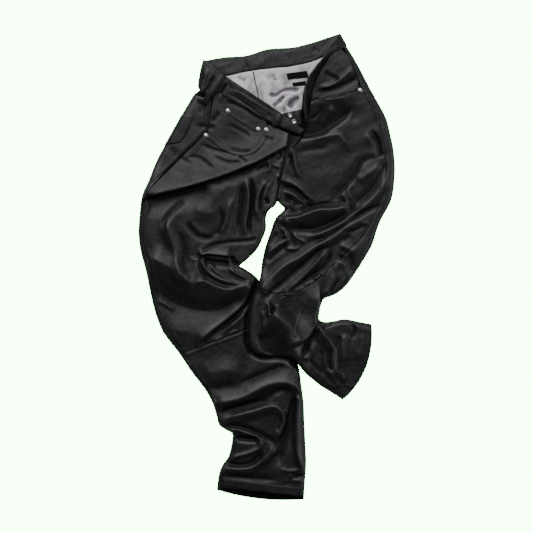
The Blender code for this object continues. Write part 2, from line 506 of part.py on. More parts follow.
def measure_rows(stations, params, edge):
    """Return outline, seam and inner edge points, sag and turn at each row of a panel."""
    outline = curve_through([row.outline for row in stations], params)
    seam = curve_through([row.seam for row in stations], params)
    inner = curve_through([getattr(row, edge) for row in stations], params)
    sag = curve_through([row.sag if edge == "front_inner" else row.back_sag for row in stations], params)[:, 0]
    turn = np.clip(curve_through([row.turn for row in stations], params)[:, 0], 0, 1)
    inwards = inner - outline
    inwards /= np.hypot(inwards[:, 0], inwards[:, 1])[:, None]
    wrap = np.hypot(*(seam - outline).T)[:, None]
    seam = np.where(wrap < LEAST_WRAP, outline + LEAST_WRAP * inwards, seam)
    return outline, seam, inner, sag, turn


def seam_normals(outline, seam, height_at):
    """Return the normals at a side seam, which the panels on both sides of it share."""
    wrap = np.hypot(*(outline - seam).T)
    towards = (outline - seam) / wrap[:, None]
    sides = []
    for step in (-SEAM_STEP, SEAM_STEP):
        flat = seam + step * towards
        sides.append(np.column_stack([flat, height_at(flat, wrap - step)]))
    across = sides[1] - sides[0]
    middle = np.column_stack([seam, height_at(seam, wrap)])
    along = np.gradient(middle, axis=0)
    normals = np.cross(along, across)
    normals *= np.sign(normals[:, 2:])
    return normals / np.linalg.norm(normals, axis=1, keepdims=True)


def front_grid(stations, params, columns, height_at, seam_first):
    """Return a front panel's outer grid, its normals and what it must stay above.

    seam_first is True where the side seam is at the left, as on the right leg.
    """
    outline, seam, inner, sag, turn = measure_rows(stations, params, "front_inner")
    grid, beyond = [], []
    for row in range(len(params)):
        run = seam[row] - inner[row]
        length = math.hypot(*run)
        along = run / length
        squeeze = min(1, length / (3 * TURN_COLUMNS[-1]))
        edge = squeeze * np.array(TURN_COLUMNS)
        free = np.linspace(edge[-1], length - SEAM_GAP, columns + 1)
        place = np.concatenate([edge[:-1], free])
        share = place / length
        bow = np.array([-along[1], along[0]]) if seam_first else np.array([along[1], -along[0]])
        flat = inner[row] + place[:, None] * along + (sag[row] * 4 * share * (1 - share))[:, None] * bow
        inset = math.dist(outline[row], seam[row])
        to_edge = np.minimum(length - place + inset, place + TURN_RADIUS * (1 - turn[row]))
        height = height_at(flat, to_edge)
        points = np.column_stack([flat, height])
        straight_on = 2 * points[0] - points[1]
        straight_down = points[0] - (0, 0, TURN_RADIUS)
        grid.append(points)
        beyond.append(straight_on + (straight_down - straight_on) * turn[row])
    grid, beyond = np.array(grid), np.array(beyond)
    if seam_first:
        grid = grid[:, ::-1]
        normals = grid_normals(grid, last_column_beyond=beyond)
        normals[:, 0] = seam_normals(outline, seam, height_at)
        return grid, normals
    normals = grid_normals(grid, first_column_beyond=beyond)
    normals[:, -1] = seam_normals(outline, seam, height_at)
    return grid, normals


def back_grid(stations, params, columns, height_at, under_at, seam_first):
    """Return a back panel's outer grid and normals: under the leg, round its outline and up to the seam."""
    outline, seam, inner, sag, turn = measure_rows(stations, params, "inner")
    angles = np.radians(TURN_ANGLES)
    grid, beyond = [], []
    for row in range(len(params)):
        wrap = math.dist(seam[row], outline[row])
        share = np.array(WRAP_SHARES)
        share[0] = 1 - SEAM_GAP / wrap
        top = outline[row] + share[:, None] * (seam[row] - outline[row])
        top_height = height_at(top, share * wrap)
        run = inner[row] - outline[row]
        length = math.hypot(*run)
        along = run / length
        curl = BACK_TURN * (1 - np.cos(angles))
        rise = EDGE_LIFT * (1 - np.sin(angles))
        flat_place = np.linspace(BACK_TURN, length - BACK_TURN, columns)
        place = np.concatenate([curl, flat_place, length - curl[::-1], [length]])
        lift = np.concatenate([rise, np.zeros(columns), rise[::-1] * turn[row],
                               [(EDGE_LIFT - SEAM_GAP) * turn[row]]])
        bow = np.array([along[1], -along[0]]) if seam_first else np.array([-along[1], along[0]])
        share = place / length
        under = outline[row] + place[:, None] * along + (sag[row] * 4 * share * (1 - share))[:, None] * bow
        under_height = under_at(under) + lift
        points = np.concatenate([np.column_stack([top, top_height]), np.column_stack([under, under_height])])
        straight_on = 2 * points[-1] - points[-2]
        straight_up = points[-1] + (0, 0, TURN_RADIUS)
        grid.append(points)
        beyond.append(straight_on + (straight_up - straight_on) * turn[row])
    grid, beyond = np.array(grid), np.array(beyond)
    if seam_first:
        grid = grid[:, ::-1]
        normals = grid_normals(grid, first_column_beyond=beyond)
        normals[:, -1] = seam_normals(outline, seam, height_at)
        return grid, normals
    normals = grid_normals(grid, last_column_beyond=beyond)
    normals[:, 0] = seam_normals(outline, seam, height_at)
    return grid, normals


def strip_grid(strips, cell, columns, bow=None, height_at=None):
    """Return the outer grid and normals of a piece that a table of strips gives."""
    starts = [(*row.start, row.start_height) for row in strips]
    ends = [(*row.end, row.end_height) for row in strips]
    params = []
    for number in range(len(strips) - 1):
        step = max(math.dist(starts[number], starts[number + 1]), math.dist(ends[number], ends[number + 1]))
        count = max(1, round(step / cell))
        params += [number + part / count for part in range(count)]
    params.append(len(strips) - 1.0)
    start = curve_through(starts, params)
    end = curve_through(ends, params)
    bows = curve_through(bow, params)[:, 0] if bow else np.zeros(len(params))
    share = np.linspace(0, 1, columns + 1)
    grid = start[:, None] + share[None, :, None] * (end - start)[:, None]
    run = (end - start)[:, :2]
    run /= np.hypot(run[:, 0], run[:, 1])[:, None]
    side = np.column_stack([run[:, 1], -run[:, 0]])
    grid[:, :, :2] += (bows[:, None] * 4 * share * (1 - share))[:, :, None] * side[:, None]
    if height_at is not None:
        flat = grid[:, :, :2].reshape(-1, 2)
        grid[:, :, 2] = height_at(flat).reshape(grid.shape[:2])
    return grid, grid_normals(grid)


def add_wall(name, grid, normals, wall, finish, floor_at=None):
    """Add a wall whose outer side is grid; where floor_at is given, its inner side stays above that."""
    inner = grid - wall * normals
    if floor_at is not None:
        lowest = floor_at(inner[:, :, :2].reshape(-1, 2)).reshape(inner.shape[:2]) + EDGE_LIFT
        inner[:, :, 2] = np.maximum(inner[:, :, 2], lowest)
    return add_shell(name, grid, inner, finish)


def add_patch(name, grid, normals, finish):
    """Add a piece that lies on a panel, made from the panel's points moved out."""
    return add_shell(name, grid + (SEAM_GAP + PATCH_WALL) * normals, grid + SEAM_GAP * normals, finish)


def highest_under(carriers, place, radius):
    """Return the greatest height of some objects under a disc on the floor."""
    spots = [place]
    for reach in (0.5 * radius, radius):
        for step in range(8):
            angle = math.tau * step / 8
            spots.append((place[0] + reach * math.cos(angle), place[1] + reach * math.sin(angle)))
    highest = 0.0
    for tree in carriers:
        for x, y in spots:
            hit = tree.ray_cast(Vector((MM * x, MM * y, 1)), Vector((0, 0, -1)))
            if hit[0] is not None:
                highest = max(highest, hit[0].z / MM)
    return highest


def add_turned(name, place, diameter, profile, carriers, finish):
    """Add a turned piece that lies on what is under it."""
    base = highest_under(carriers, place, diameter / 2) + SEAM_GAP
    points = [(place[0], place[1], base)]
    for share, height in profile:
        radius = share * diameter / 2
        for step in range(ROUND_SIDES):
            angle = math.tau * step / ROUND_SIDES
            across = (radius * math.cos(angle), radius * math.sin(angle))
            points.append((place[0] + across[0], place[1] + across[1], base + height))
    points.append((place[0], place[1], base + profile[-1][1] + TOP_CROWN))
    faces = []
    for step in range(ROUND_SIDES):
        after = (step + 1) % ROUND_SIDES
        faces.append((0, 1 + after, 1 + step))
        for ring in range(len(profile) - 1):
            low = 1 + ring * ROUND_SIDES
            high = low + ROUND_SIDES
            faces.append((low + step, low + after, high + after, high + step))
        last = 1 + (len(profile) - 1) * ROUND_SIDES
        faces.append((last + step, last + after, len(points) - 1))
    return add_object(name, points, faces, finish)


def add_belt_loop(name, route, width, carriers):
    """Add a belt loop: a strap that lies on whatever is under it."""
    path = curve_through(route, np.linspace(0, len(route) - 1, LOOP_ROWS))
    rows = []
    for number, centre in enumerate(path):
        before, after = path[max(number - 1, 0)], path[min(number + 1, len(path) - 1)]
        along = (after - before) / math.dist(after, before)
        across = np.array([-along[1], along[0]]) * width / 2
        base = highest_under(carriers, centre, LOOP_REACH * width) + LOOP_CLEARANCE + PATCH_WALL
        rows.append([(*(centre + across * side), base) for side in (-1, 0, 1)])
    grid = np.array(rows)
    return add_wall(name, grid, grid_normals(grid), PATCH_WALL, LEATHER)


def station_number(stations, name):
    """Return the row number of a station by its name."""
    return [row.name for row in stations].index(name)


def build_right_leg():
    """Build the right leg's back, front and shin, the fly flap and the back pocket; return the front."""
    back_rows = RIGHT_SEAT + RIGHT_LEG
    params = row_params(back_rows)
    grid, normals = back_grid(back_rows, params, RIGHT_BACK_COLUMNS, right_leg_height, on_floor, True)
    add_wall("back_right", grid, normals, WALL, LEATHER)
    pocket = (params >= BACK_POCKET_SPAN[0]) & (params <= BACK_POCKET_SPAN[1])
    pocket_grid, pocket_normals = grid[pocket][:, BACK_POCKET_COLUMNS], normals[pocket][:, BACK_POCKET_COLUMNS]
    add_patch("back_pocket", pocket_grid, pocket_normals, LEATHER)

    rows = RIGHT_HIP_FRONT + RIGHT_LEG
    params = row_params(rows)
    knee = int(np.searchsorted(params, station_number(rows, "knee")))
    grid, normals = front_grid(rows, params, RIGHT_FRONT_COLUMNS, right_leg_height, True)
    upper, lower = split_at_knee(grid, knee)
    last_step = lower[-2] - lower[-1]
    lower[-1] += HEM_SETBACK * last_step / np.linalg.norm(last_step, axis=1)[:, None]
    fly_start = int(np.searchsorted(params, station_number(rows, "thigh_1")))
    fly_end = int(np.searchsorted(params, station_number(rows, "thigh_3")))
    fly = slice(fly_start, fly_end + 1)
    add_patch("fly_flap", upper[fly, -FLY_COLUMNS:], normals[fly, -FLY_COLUMNS:], LEATHER)
    add_wall("shin_right", lower, normals[knee:], WALL, LEATHER, on_floor)
    return add_wall("front_right", upper, normals[:knee + 1], WALL, LEATHER, on_floor)


def build_left_leg():
    """Build the left leg's back, front and shin; return the front."""
    rows = LEFT_SEAT + LEFT_LEG
    params = row_params(rows)
    grid, normals = back_grid(rows, params, LEFT_BACK_COLUMNS, left_leg_height, crossing_lift, False)
    add_wall("back_left", grid, normals, WALL, LEATHER)

    pocket = int(np.searchsorted(params, station_number(rows, "pocket")))
    knee = int(np.searchsorted(params, station_number(rows, "knee")))
    grid, normals = front_grid(rows, params, LEFT_FRONT_COLUMNS, left_leg_height, False)
    upper, lower = split_at_knee(grid, knee)
    add_wall("shin_left", lower, normals[knee:], WALL, LEATHER, crossing_lift)
    return add_wall("front_left", upper[pocket:], normals[pocket:knee + 1], WALL, LEATHER, crossing_lift)


def split_at_knee(grid, row):
    """Return a front panel's grid above and below its knee seam, a seam gap short of it each."""
    step = grid[row + 1] - grid[row - 1]
    shift = SEAM_GAP * step / np.linalg.norm(step, axis=1, keepdims=True)
    upper = grid[:row + 1].copy()
    lower = grid[row:].copy()
    upper[-1] -= shift
    lower[0] += shift
    return upper, lower


def on_floor(points):
    """Return the height of the floor."""
    return np.zeros(len(points))


def facing_height(leg_height):
    """Return the height function of a pocket facing, which lies lower than its leg's front panel."""
    def height(points):
        return leg_height(points, np.full(len(points), TURN_RADIUS)) - FACING_DROP
    return height


def lining_height(points):
    """Return the height of the lining with its creases."""
    return LINING_HEIGHT + sum(fold_height(points, fold) for fold in LINING_FOLDS)


def stand_height(points):
    """Return the height of the button stand, which lies on the lining."""
    return lining_height(points) + 2 * SEAM_GAP + WALL


def surface_tree(made):
    """Return a tree of an object's faces for finding heights."""
    points = [vertex.co for vertex in made.data.vertices]
    return BVHTree.FromPolygons(points, [face.vertices for face in made.data.polygons])


def build():
    """Build every piece."""
    front_right = build_right_leg()
    front_left = build_left_leg()

    grid, normals = strip_grid(FACING_RIGHT, CELL, FACING_RIGHT_COLUMNS, FACING_RIGHT_BOW,
                               facing_height(right_leg_height))
    facing_right = add_wall("pocket_facing_right", grid, normals, WALL, LEATHER)
    add_patch("coin_pocket", grid[1:-1, COIN_POCKET_COLUMNS], normals[1:-1, COIN_POCKET_COLUMNS], LEATHER)
    grid, normals = strip_grid(FACING_LEFT, CELL, FACING_LEFT_COLUMNS, None, facing_height(left_leg_height))
    facing_left = add_wall("pocket_facing_left", grid, normals, WALL, LEATHER)

    bands = {"waistband_right": WAISTBAND_RIGHT, "waistband_left": WAISTBAND_LEFT,
             "waistband_back": WAISTBAND_BACK}
    walls = {}
    for name, strips in bands.items():
        grid, normals = strip_grid(strips, CELL, BAND_COLUMNS)
        walls[name] = add_wall(name, grid, normals, BAND_WALL, LEATHER)
    for name, strips, bow in (("lining_right", LINING_RIGHT, None), ("lining_left", LINING_LEFT, LINING_LEFT_BOW)):
        grid, normals = strip_grid(strips, LINING_CELL, LINING_COLUMNS, bow, lining_height)
        walls[name] = add_wall(name, grid, normals, LINING_WALL, LINING)
    grid, normals = strip_grid(BUTTON_STAND, CELL, BAND_COLUMNS, None, stand_height)
    stand = add_wall("button_stand", grid, normals, WALL, LEATHER)

    top = [surface_tree(made) for made in (bpy.data.objects["back_right"], front_right, front_left, facing_right,
                                           facing_left, walls["waistband_right"], walls["waistband_left"])]
    for name, (upper, middle, lower, width) in BELT_LOOPS.items():
        add_belt_loop(name, (upper, middle, lower), width, top)
    top.append(surface_tree(bpy.data.objects["coin_pocket"]))
    for name, place in RIVETS.items():
        add_turned(name, place, RIVET_DIAMETER, RIVET_PROFILE, top, METAL)
    on_stand = [surface_tree(stand)]
    for name, place in FLY_BUTTONS.items():
        add_turned(name, place, BUTTON_DIAMETER, BUTTON_PROFILE, on_stand, METAL)
    on_lining = [surface_tree(walls["lining_left"])]
    for name, (top_left, top_right, low_right, low_left) in LABELS.items():
        middle = (np.array(top_left) + np.array(low_right)) / 2
        base = highest_under(on_lining, middle, LABEL_REACH) + SEAM_GAP + LABEL_WALL
        corners = np.array([[top_left, top_right], [low_left, low_right]], float)
        grid = np.concatenate([corners, np.full((2, 2, 1), base)], axis=2)
        add_wall(name, grid, grid_normals(grid), LABEL_WALL, LABEL)


def main():
    """Clear the scene and build the jeans."""
    for existing in list(bpy.data.objects):
        bpy.data.objects.remove(existing, do_unlink=True)
    build()


main()
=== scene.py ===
"""Looks of a pair of loose five-pocket leather jeans that lie flat on a floor with the waist open.

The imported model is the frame. Every cloth piece here is a thin shell on the form of its solid, on a finer
grid, with the smaller creases added. Places on the floor are in millimetres from the middle of the garment, x
to the right and y towards the waist; heights are in millimetres above the floor.
"""
import logging
import math
from collections.abc import Callable, Sequence
from dataclasses import dataclass
from enum import Enum
from functools import partial
from typing import NamedTuple, Optional

import bpy
import numpy as np
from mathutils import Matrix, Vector
from mathutils.bvhtree import BVHTree


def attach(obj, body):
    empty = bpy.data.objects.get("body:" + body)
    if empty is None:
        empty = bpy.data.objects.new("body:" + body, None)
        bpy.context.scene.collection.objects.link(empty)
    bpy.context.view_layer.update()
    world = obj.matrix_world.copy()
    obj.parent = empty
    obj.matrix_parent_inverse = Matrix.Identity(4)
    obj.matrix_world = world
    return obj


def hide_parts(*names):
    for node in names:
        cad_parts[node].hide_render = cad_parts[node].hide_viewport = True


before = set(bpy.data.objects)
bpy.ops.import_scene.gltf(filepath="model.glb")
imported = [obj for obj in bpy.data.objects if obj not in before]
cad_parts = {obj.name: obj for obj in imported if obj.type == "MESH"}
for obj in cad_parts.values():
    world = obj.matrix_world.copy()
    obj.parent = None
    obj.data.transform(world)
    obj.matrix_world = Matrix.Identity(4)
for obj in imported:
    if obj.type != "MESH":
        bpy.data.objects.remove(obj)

LOG = logging.getLogger("jeans")
MM = 0.001
Place = tuple[float, float]
Place3 = tuple[float, float, float]
Grid = np.ndarray

# Thicknesses, mm.
WALL = 1.6                # the leather
BAND_WALL = 2.6           # the waistband, which is doubled
LINING_WALL = 1.0
PATCH_WALL = 1.3
LABEL_WALL = 0.8
LOOP_THICKNESS = 2.4

# How the panels turn, meet and cross, mm.
SEAM_GAP = 0.12           # between two pieces that meet
SEAM_DIP = 0.5            # how far a panel turns down at its seam
SEAM_DIP_REACH = 1.3
EDGE_LIFT = 3.0           # height of the turn at the outline, where the front panel meets the back one
TURN_RADIUS = 13.0        # how far in from the outline a front panel reaches its full height
NARROW = 4                # a row narrower than this many turn radii has its edge squeezed in
BACK_TURN = 3.2           # how far in from the outline the back panel reaches the floor
LEAST_WRAP = 5.0          # how much of the back panel shows on top at least
LOFT = 14.0               # height of a leg's top between its folds
LOWEST_FRONT = 5.5
FLOOR_EASE = 1.5          # how softly heights ease towards their lowest
CROSSING_CEILING = 7.4    # the right leg is pressed down to this under the left leg
CROSSING_LIFT = 9.8       # underside of the left leg where it crosses
CROSSING_RAMP = 30.0      # how far from the right leg that underside comes down
PRESSED_MARGIN = 14.0
HEM_SETBACK = 8.0         # how much short of the back hem the right front one lies

# Patches, facings, lining, band and loops, mm.
PATCH_RISE = 0.9          # how far a patch that is sewn flat stands out
PATCH_FLOAT = 0.1         # how far its inner side is above the panel
BACK_POCKET_SPAN = (1.15, 2.45)     # the back pocket's rows, as params of the back panel's stations
BACK_POCKET_COLUMNS = slice(-13, -4)     # its grid lines, counted from the panel's inner edge
FLY_COLUMNS = slice(-28, -3)        # the fly flap's grid lines, from the panel's edge
FLY_DROP = 3              # how many grid lines below the lip the fly flap starts
FACING_DROP = 1.9
LINING_REST = 4.8         # the lining's height between its wrinkles
LINING_LOWEST = 2.4
LINING_UNDER_BAND = 1.7   # the lining dives to this under the back band
LINING_TUCK = 3.0
SATIN_GAIN = 1.5          # how much higher the lining's wrinkles stand than their table says
LOOP_ARCH = 4.6           # how far a loop stands off the band
LOOP_CROWN = 1.3
LOOP_BRIDGE = 5           # how many of its rows a loop bridges a gap by
LOOP_EXTRA = 0.8          # how much wider a loop's strap is on each side than its solid
BAND_CROWN = 0.5
STAND_CROWN = 0.3
METAL_GAP = 0.1           # between a rivet or button and what it sits on

# Waves that make a cloth uneven: height and length in mm, and seed.
LINING_WAVES = ((0.7, 26.0, 5), (0.15, 9.0, 6))
BAND_WAVES = ((0.35, 30.0, 41), (0.12, 11.0, 43))

# How folds are shaped from their tables.
PATH_POINTS = 6           # points on a fold's curve for each corner of its path
SPREAD = 1.3              # a fold dies out softly, so it reaches this much wider than it shows
ROUND = 1.3               # how round a fold's crest is, mm
MOST_ROUND = 0.3
LIT_SIDE = 3.0            # a fold shows by its lit and its dark side, so its crest lies this much below, mm
DOME_START, DOME_RUN, MOST_DOME = 8.0, 18.0, 0.6     # wide ridges are rounder on top than narrow ones
HEIGHT_GAIN = 0.9
STEEPEST = 0.48           # but a fold is never higher than this share of its reach
LEAN_START, LEAN_RUN, LEAN_SEAM = 4.0, 8.0, 14.0     # how far in from edges and seams a lip leans, mm

# How the finishes are shaded, with painted sheen on crests and painted shade in hollows.
PAINTED_SHEEN_GAIN = 0.6          # how much coat is added on a crest as painted sheen and taken from a hollow as painted shade
PAINTED_LIGHT_SCALES = ((4, 2.2), (12, 4.5))     # a crest's reach in cells and how high it stands where the painted light is strongest, mm
LEAST_PAINTED_LIGHT = 12         # a piece with fewer grid lines than this has no painted light on its crests and hollows
POLISH_MOTTLE = 0.22
SATIN_TONES = (0.62, 0.88)      # the satin's tone between its wrinkles, from its dark to its light colour
MASK_SPAN = (0.35, 0.65)        # the part of a pattern's mask that is spread from 0 to 1
RIM_BULGE = 0.35          # how far a wall's rim rounds out, as a share of its thickness


class Fold(NamedTuple):
    """A ridge, or a trough where height is below 0, along a path on the floor.

    The reaches are to the left and right of the path as it runs, the fades are shares of its length, and over
    is how far its lip leans over what lies before it.
    """

    path: tuple[Place, ...]
    height: float
    left: float
    right: float
    fade_in: float = 0.25
    fade_out: float = 0.25
    over: float = 0.0


class Station(NamedTuple):
    """One row across a leg: its outline, its side seam on the top and its inner edge below and above.

    The sags are how far the row's top and underside bow along the leg, and turn is how much its inner edge
    turns down.
    """

    name: str
    outline: Place
    seam: Place
    inner: Optional[Place]
    front_inner: Optional[Place]
    sag: float
    turn: float
    back_sag: float = 0


class Strip(NamedTuple):
    """One row of a piece round the waist, from a start to an end with a height at each."""

    name: str
    start: Place
    start_height: float
    end: Place
    end_height: float


def tube_row(name: str, outline: Place, seam: Place, inner: Place, sag: float = 0, turn: float = 1,
             back_sag: float = 0) -> Station:
    """Return a row where the front and the back panel meet at the inner edge."""
    return Station(name, outline, seam, inner, inner, sag, turn, back_sag)


def flat_row(name: str, start: Place, end: Place) -> Strip:
    """Return a row of a piece that takes its heights from what it lies on."""
    return Strip(name, start, 0, end, 0)


# Folds, placed where they show: path, height, reach to the left and to the right, fades, lean; mm.
RIGHT_LEG_FOLDS = (
    Fold(((-253, 139), (-213, 150), (-173, 160), (-133, 171), (-93, 184), (-47, 202), (-21, 213), (3, 226),
          (29, 240), (51, 253), (75, 269)), 13, 50, 9, 0, 0, 4.5),
    Fold(((-243, 135), (-213, 135), (-177, 143), (-141, 153), (-105, 165)), -13, 14, 30, 0.1, 0.3),
    Fold(((-123, 167), (-89, 179), (-47, 191), (-9, 213)), -6, 6, 18, 0.25, 0.25),
    Fold(((-137, 22), (-121, 27), (-101, 26), (-71, 22)), 9, 13, 3.5, 0.15, 0.12, 2.5),
    Fold(((-161, 139), (-181, 121), (-201, 97), (-209, 69)), -5, 9, 9, 0.2, 0.35),
    Fold(((-193, 105), (-197, 85), (-191, 61), (-181, 33), (-177, 5), (-165, -19), (-149, -29)), 9, 16, 16,
          0.2, 0.2),
    Fold(((-173, 77), (-167, 41), (-159, 1)), -4.5, 16, 12, 0.3, 0.3),
    Fold(((-137, 25), (-138, 3), (-129, -15), (-117, -27)), 7, 5, 20, 0.15, 0.3),
    Fold(((-243, 29), (-225, 19), (-205, 9), (-185, -5), (-165, -21), (-145, -30), (-121, -27)), 11, 30, 34,
          0.2, 0.2),
    Fold(((-145, -29), (-121, -27), (-101, -36), (-77, -43), (-49, -37), (-23, -25)), 9, 9, 30, 0.2, 0.15),
    Fold(((-241, -23), (-209, -55), (-153, -81), (-97, -83), (-53, -63), (-21, -41)), -8, 24, 40, 0.2, 0.2),
    Fold(((-219, -65), (-203, -71), (-183, -85)), 3.5, 8, 6),
    Fold(((-203, -119), (-143, -127), (-81, -103)), 3, 40, 34, 0.3, 0.3),
    Fold(((-19, -31), (-41, -67), (-77, -99), (-117, -131), (-143, -157)), 8, 7, 18, 0.1, 0.15),
    Fold(((-19, -45), (-47, -83), (-83, -115), (-121, -143)), -7, 8, 8, 0.15, 0.25),
    Fold(((-11, -35), (-33, -75), (-67, -111), (-105, -133)), 7, 11, 7, 0.15, 0.3),
    Fold(((-127, 14), (-101, 9), (-73, 7)), -8, 6, 12, 0.15, 0.15, 0.01),
    Fold(((-69, 21), (-65, 9), (-53, 4)), -8, 6, 6, 0.2, 0.3, 0.01),
    Fold(((-129, 19), (-121, -1), (-101, -19), (-73, -29), (-41, -33)), 6, 8, 9, 0.1, 0.2),
    Fold(((-117, 17), (-105, -3), (-85, -17), (-53, -27), (-33, -29)), 6, 6, 7, 0.15, 0.2),
    Fold(((-77, 1), (-59, -11), (-29, -27)), 5, 6, 7),
    Fold(((-137, 32), (-121, 39), (-105, 46), (-73, 52), (-33, 55), (-17, 61)), -3, 5, 6, 0.1, 0.1),
    Fold(((-161, 93), (-149, 77), (-135, 64), (-117, 60), (-101, 67)), -5, 8, 8, 0.2, 0.3),
    Fold(((-91, 123), (-90, 97), (-97, 75), (-107, 63)), -4.5, 9, 7, 0.3, 0.2),
    Fold(((-145, 119), (-121, 109), (-101, 117)), 2.5, 20, 18),
    Fold(((-65, 143), (-77, 117), (-83, 89), (-99, 61)), 3.5, 9, 9),
    Fold(((-45, 177), (-53, 133), (-59, 89), (-63, 57)), -6, 12, 9, 0.25, 0.3),
    Fold(((-43, 181), (-36, 153), (-37, 109), (-46, 63)), 8, 4.5, 14, 0.2, 0.25),
    Fold(((-33, 181), (-28, 149), (-31, 117), (-37, 85), (-31, 55)), -8, 7, 6, 0.2, 0.3, 0.01),
    Fold(((3, 177), (-14, 153), (-22, 129), (-18, 107), (-9, 89)), 8, 5, 7, 0.15, 0.3),
    Fold(((-1, 169), (-10, 149), (-14, 125), (-9, 107)), -5, 4.5, 4.5),
    Fold(((11, 173), (-1, 155), (-6, 137), (-1, 123)), 6, 4.5, 4.5),
    Fold(((-23, 193), (-9, 201), (7, 207)), -3, 6, 8),
    Fold(((-3, 139), (3, 123)), -6, 7, 7, 0.3, 0.3, 0.01),
    Fold(((-141, -159), (-121, -149)), 2.5, 4, 4),
    Fold(((-105, -146), (-85, -136)), 2.5, 4, 4),
    Fold(((-77, -133), (-57, -123)), 2.5, 4, 4),
    Fold(((-133, -215), (-85, -203), (-41, -211)), 5, 26, 30),
    Fold(((-61, -231), (-21, -217), (11, -203), (47, -189)), -5, 10, 14, 0.3, 0.2),
    Fold(((-137, -239), (-97, -239), (-61, -227)), -3, 14, 14),
    Fold(((-113, -269), (-77, -266), (-47, -258), (-25, -247), (-5, -237), (15, -230), (39, -229), (59, -237),
          (71, -251)), 11, 22, 13, 0.15, 0.1),
    Fold(((-99, -291), (-65, -279), (-25, -269), (19, -255)), -7, 9, 13, 0.2, 0.3),
    Fold(((-5, -259), (19, -247), (39, -237)), -4, 5, 8),
    Fold(((-85, -301), (-53, -292), (-23, -284), (3, -276), (21, -277), (33, -289), (36, -305), (29, -325),
          (17, -347)), 6.5, 7, 16, 0.15, 0.1),
    Fold(((27, -293), (28, -307), (21, -327)), -5, 4, 5),
    Fold(((-87, -319), (-69, -315), (-47, -318), (-27, -325), (-9, -333), (9, -345), (17, -351)), -6, 9, 5,
          0.1, 0.15),
    Fold(((-81, -326), (-63, -322), (-43, -328), (-25, -334), (-15, -339), (-12, -349), (-17, -360),
          (-35, -369), (-57, -375), (-77, -381)), 8.5, 6, 6, 0.1, 0.15),
    Fold(((-65, -341), (-41, -344), (-19, -345)), -9, 8, 7, 0.3, 0.1, 0.01),
    Fold(((-77, -389), (-53, -394), (-33, -390), (-17, -377), (-5, -365)), -7, 7, 9, 0.1, 0.2),
    Fold(((-93, -399), (-61, -400), (-35, -398), (-17, -390), (-1, -375), (17, -351)), 7, 9, 13, 0.1, 0.1),
    Fold(((-89, -413), (-53, -417), (-9, -421), (31, -421)), -4, 12, 8, 0.2, 0.3),
    Fold(((-9, -391), (11, -371), (23, -359)), 3, 9, 9),
    Fold(((59, -249), (51, -275), (43, -307), (35, -339), (27, -367), (19, -399)), -10, 13, 12, 0.15, 0.2),
    Fold(((67, -245), (62, -277), (60, -323), (61, -363), (69, -393), (79, -415)), 7, 14, 9, 0.1, 0.15),
    Fold(((63, -245), (64, -259)), -4, 4, 4),
    Fold(((23, -401), (49, -405), (75, -401)), 3, 7, 6),
    Fold(((43, -421), (61, -416), (77, -411)), -3.5, 5, 5),
    Fold(((33, -431), (51, -429)), -1.5, 4, 4),
    Fold(((41, -410), (59, -423), (77, -425)), 3, 5, 5),
    Fold(((-87, 338), (-69, 337), (-43, 324), (-17, 306), (7, 291)), 3, 5, 5),
    Fold(((-85, 331), (-61, 327), (-33, 311), (-5, 291)), -3, 4, 5),
    Fold(((-197, 243), (-181, 229), (-165, 217), (-145, 209)), -2, 5, 5),
    Fold(((-161, 217), (-149, 222), (-133, 220), (-117, 209), (-103, 197)), -2, 5, 5),
    Fold(((-133, 248), (-101, 235), (-67, 228)), -2, 5, 6),
    Fold(((-109, 225), (-77, 213), (-45, 216)), -2, 6, 6),
    Fold(((-57, 225), (-39, 213)), -2, 4, 4),
    Fold(((-83, 289), (-57, 277), (-37, 265), (-29, 255)), -1.6, 5, 6),
    Fold(((-77, 241), (-53, 233), (-29, 237)), -2, 5, 5),
    Fold(((-9, 265), (3, 259), (15, 259)), -2, 6, 6),
    Fold(((-125, 325), (-133, 309)), -3, 6, 6),
    Fold(((-111, 291), (-101, 301), (-93, 313)), -3, 5, 6),
    Fold(((-89, 349), (-95, 333)), 2, 5, 5),
    Fold(((-141, 285), (-117, 281), (-101, 283)), -2.5, 5, 7),
    Fold(((-139, 335), (-123, 321)), -3, 5, 5),
    Fold(((3, 217), (7, 201), (1, 189)), 2, 4, 4),
    Fold(((11, 207), (23, 201), (27, 189), (19, 177)), 2.5, 4, 4),
    Fold(((15, 230), (25, 228), (28, 219), (21, 211)), -4, 5, 5, 0.2, 0.2, 0.01),
    Fold(((19, 197), (26, 192), (23, 183)), -2.5, 4, 4, 0.3, 0.3, 0.01),
)
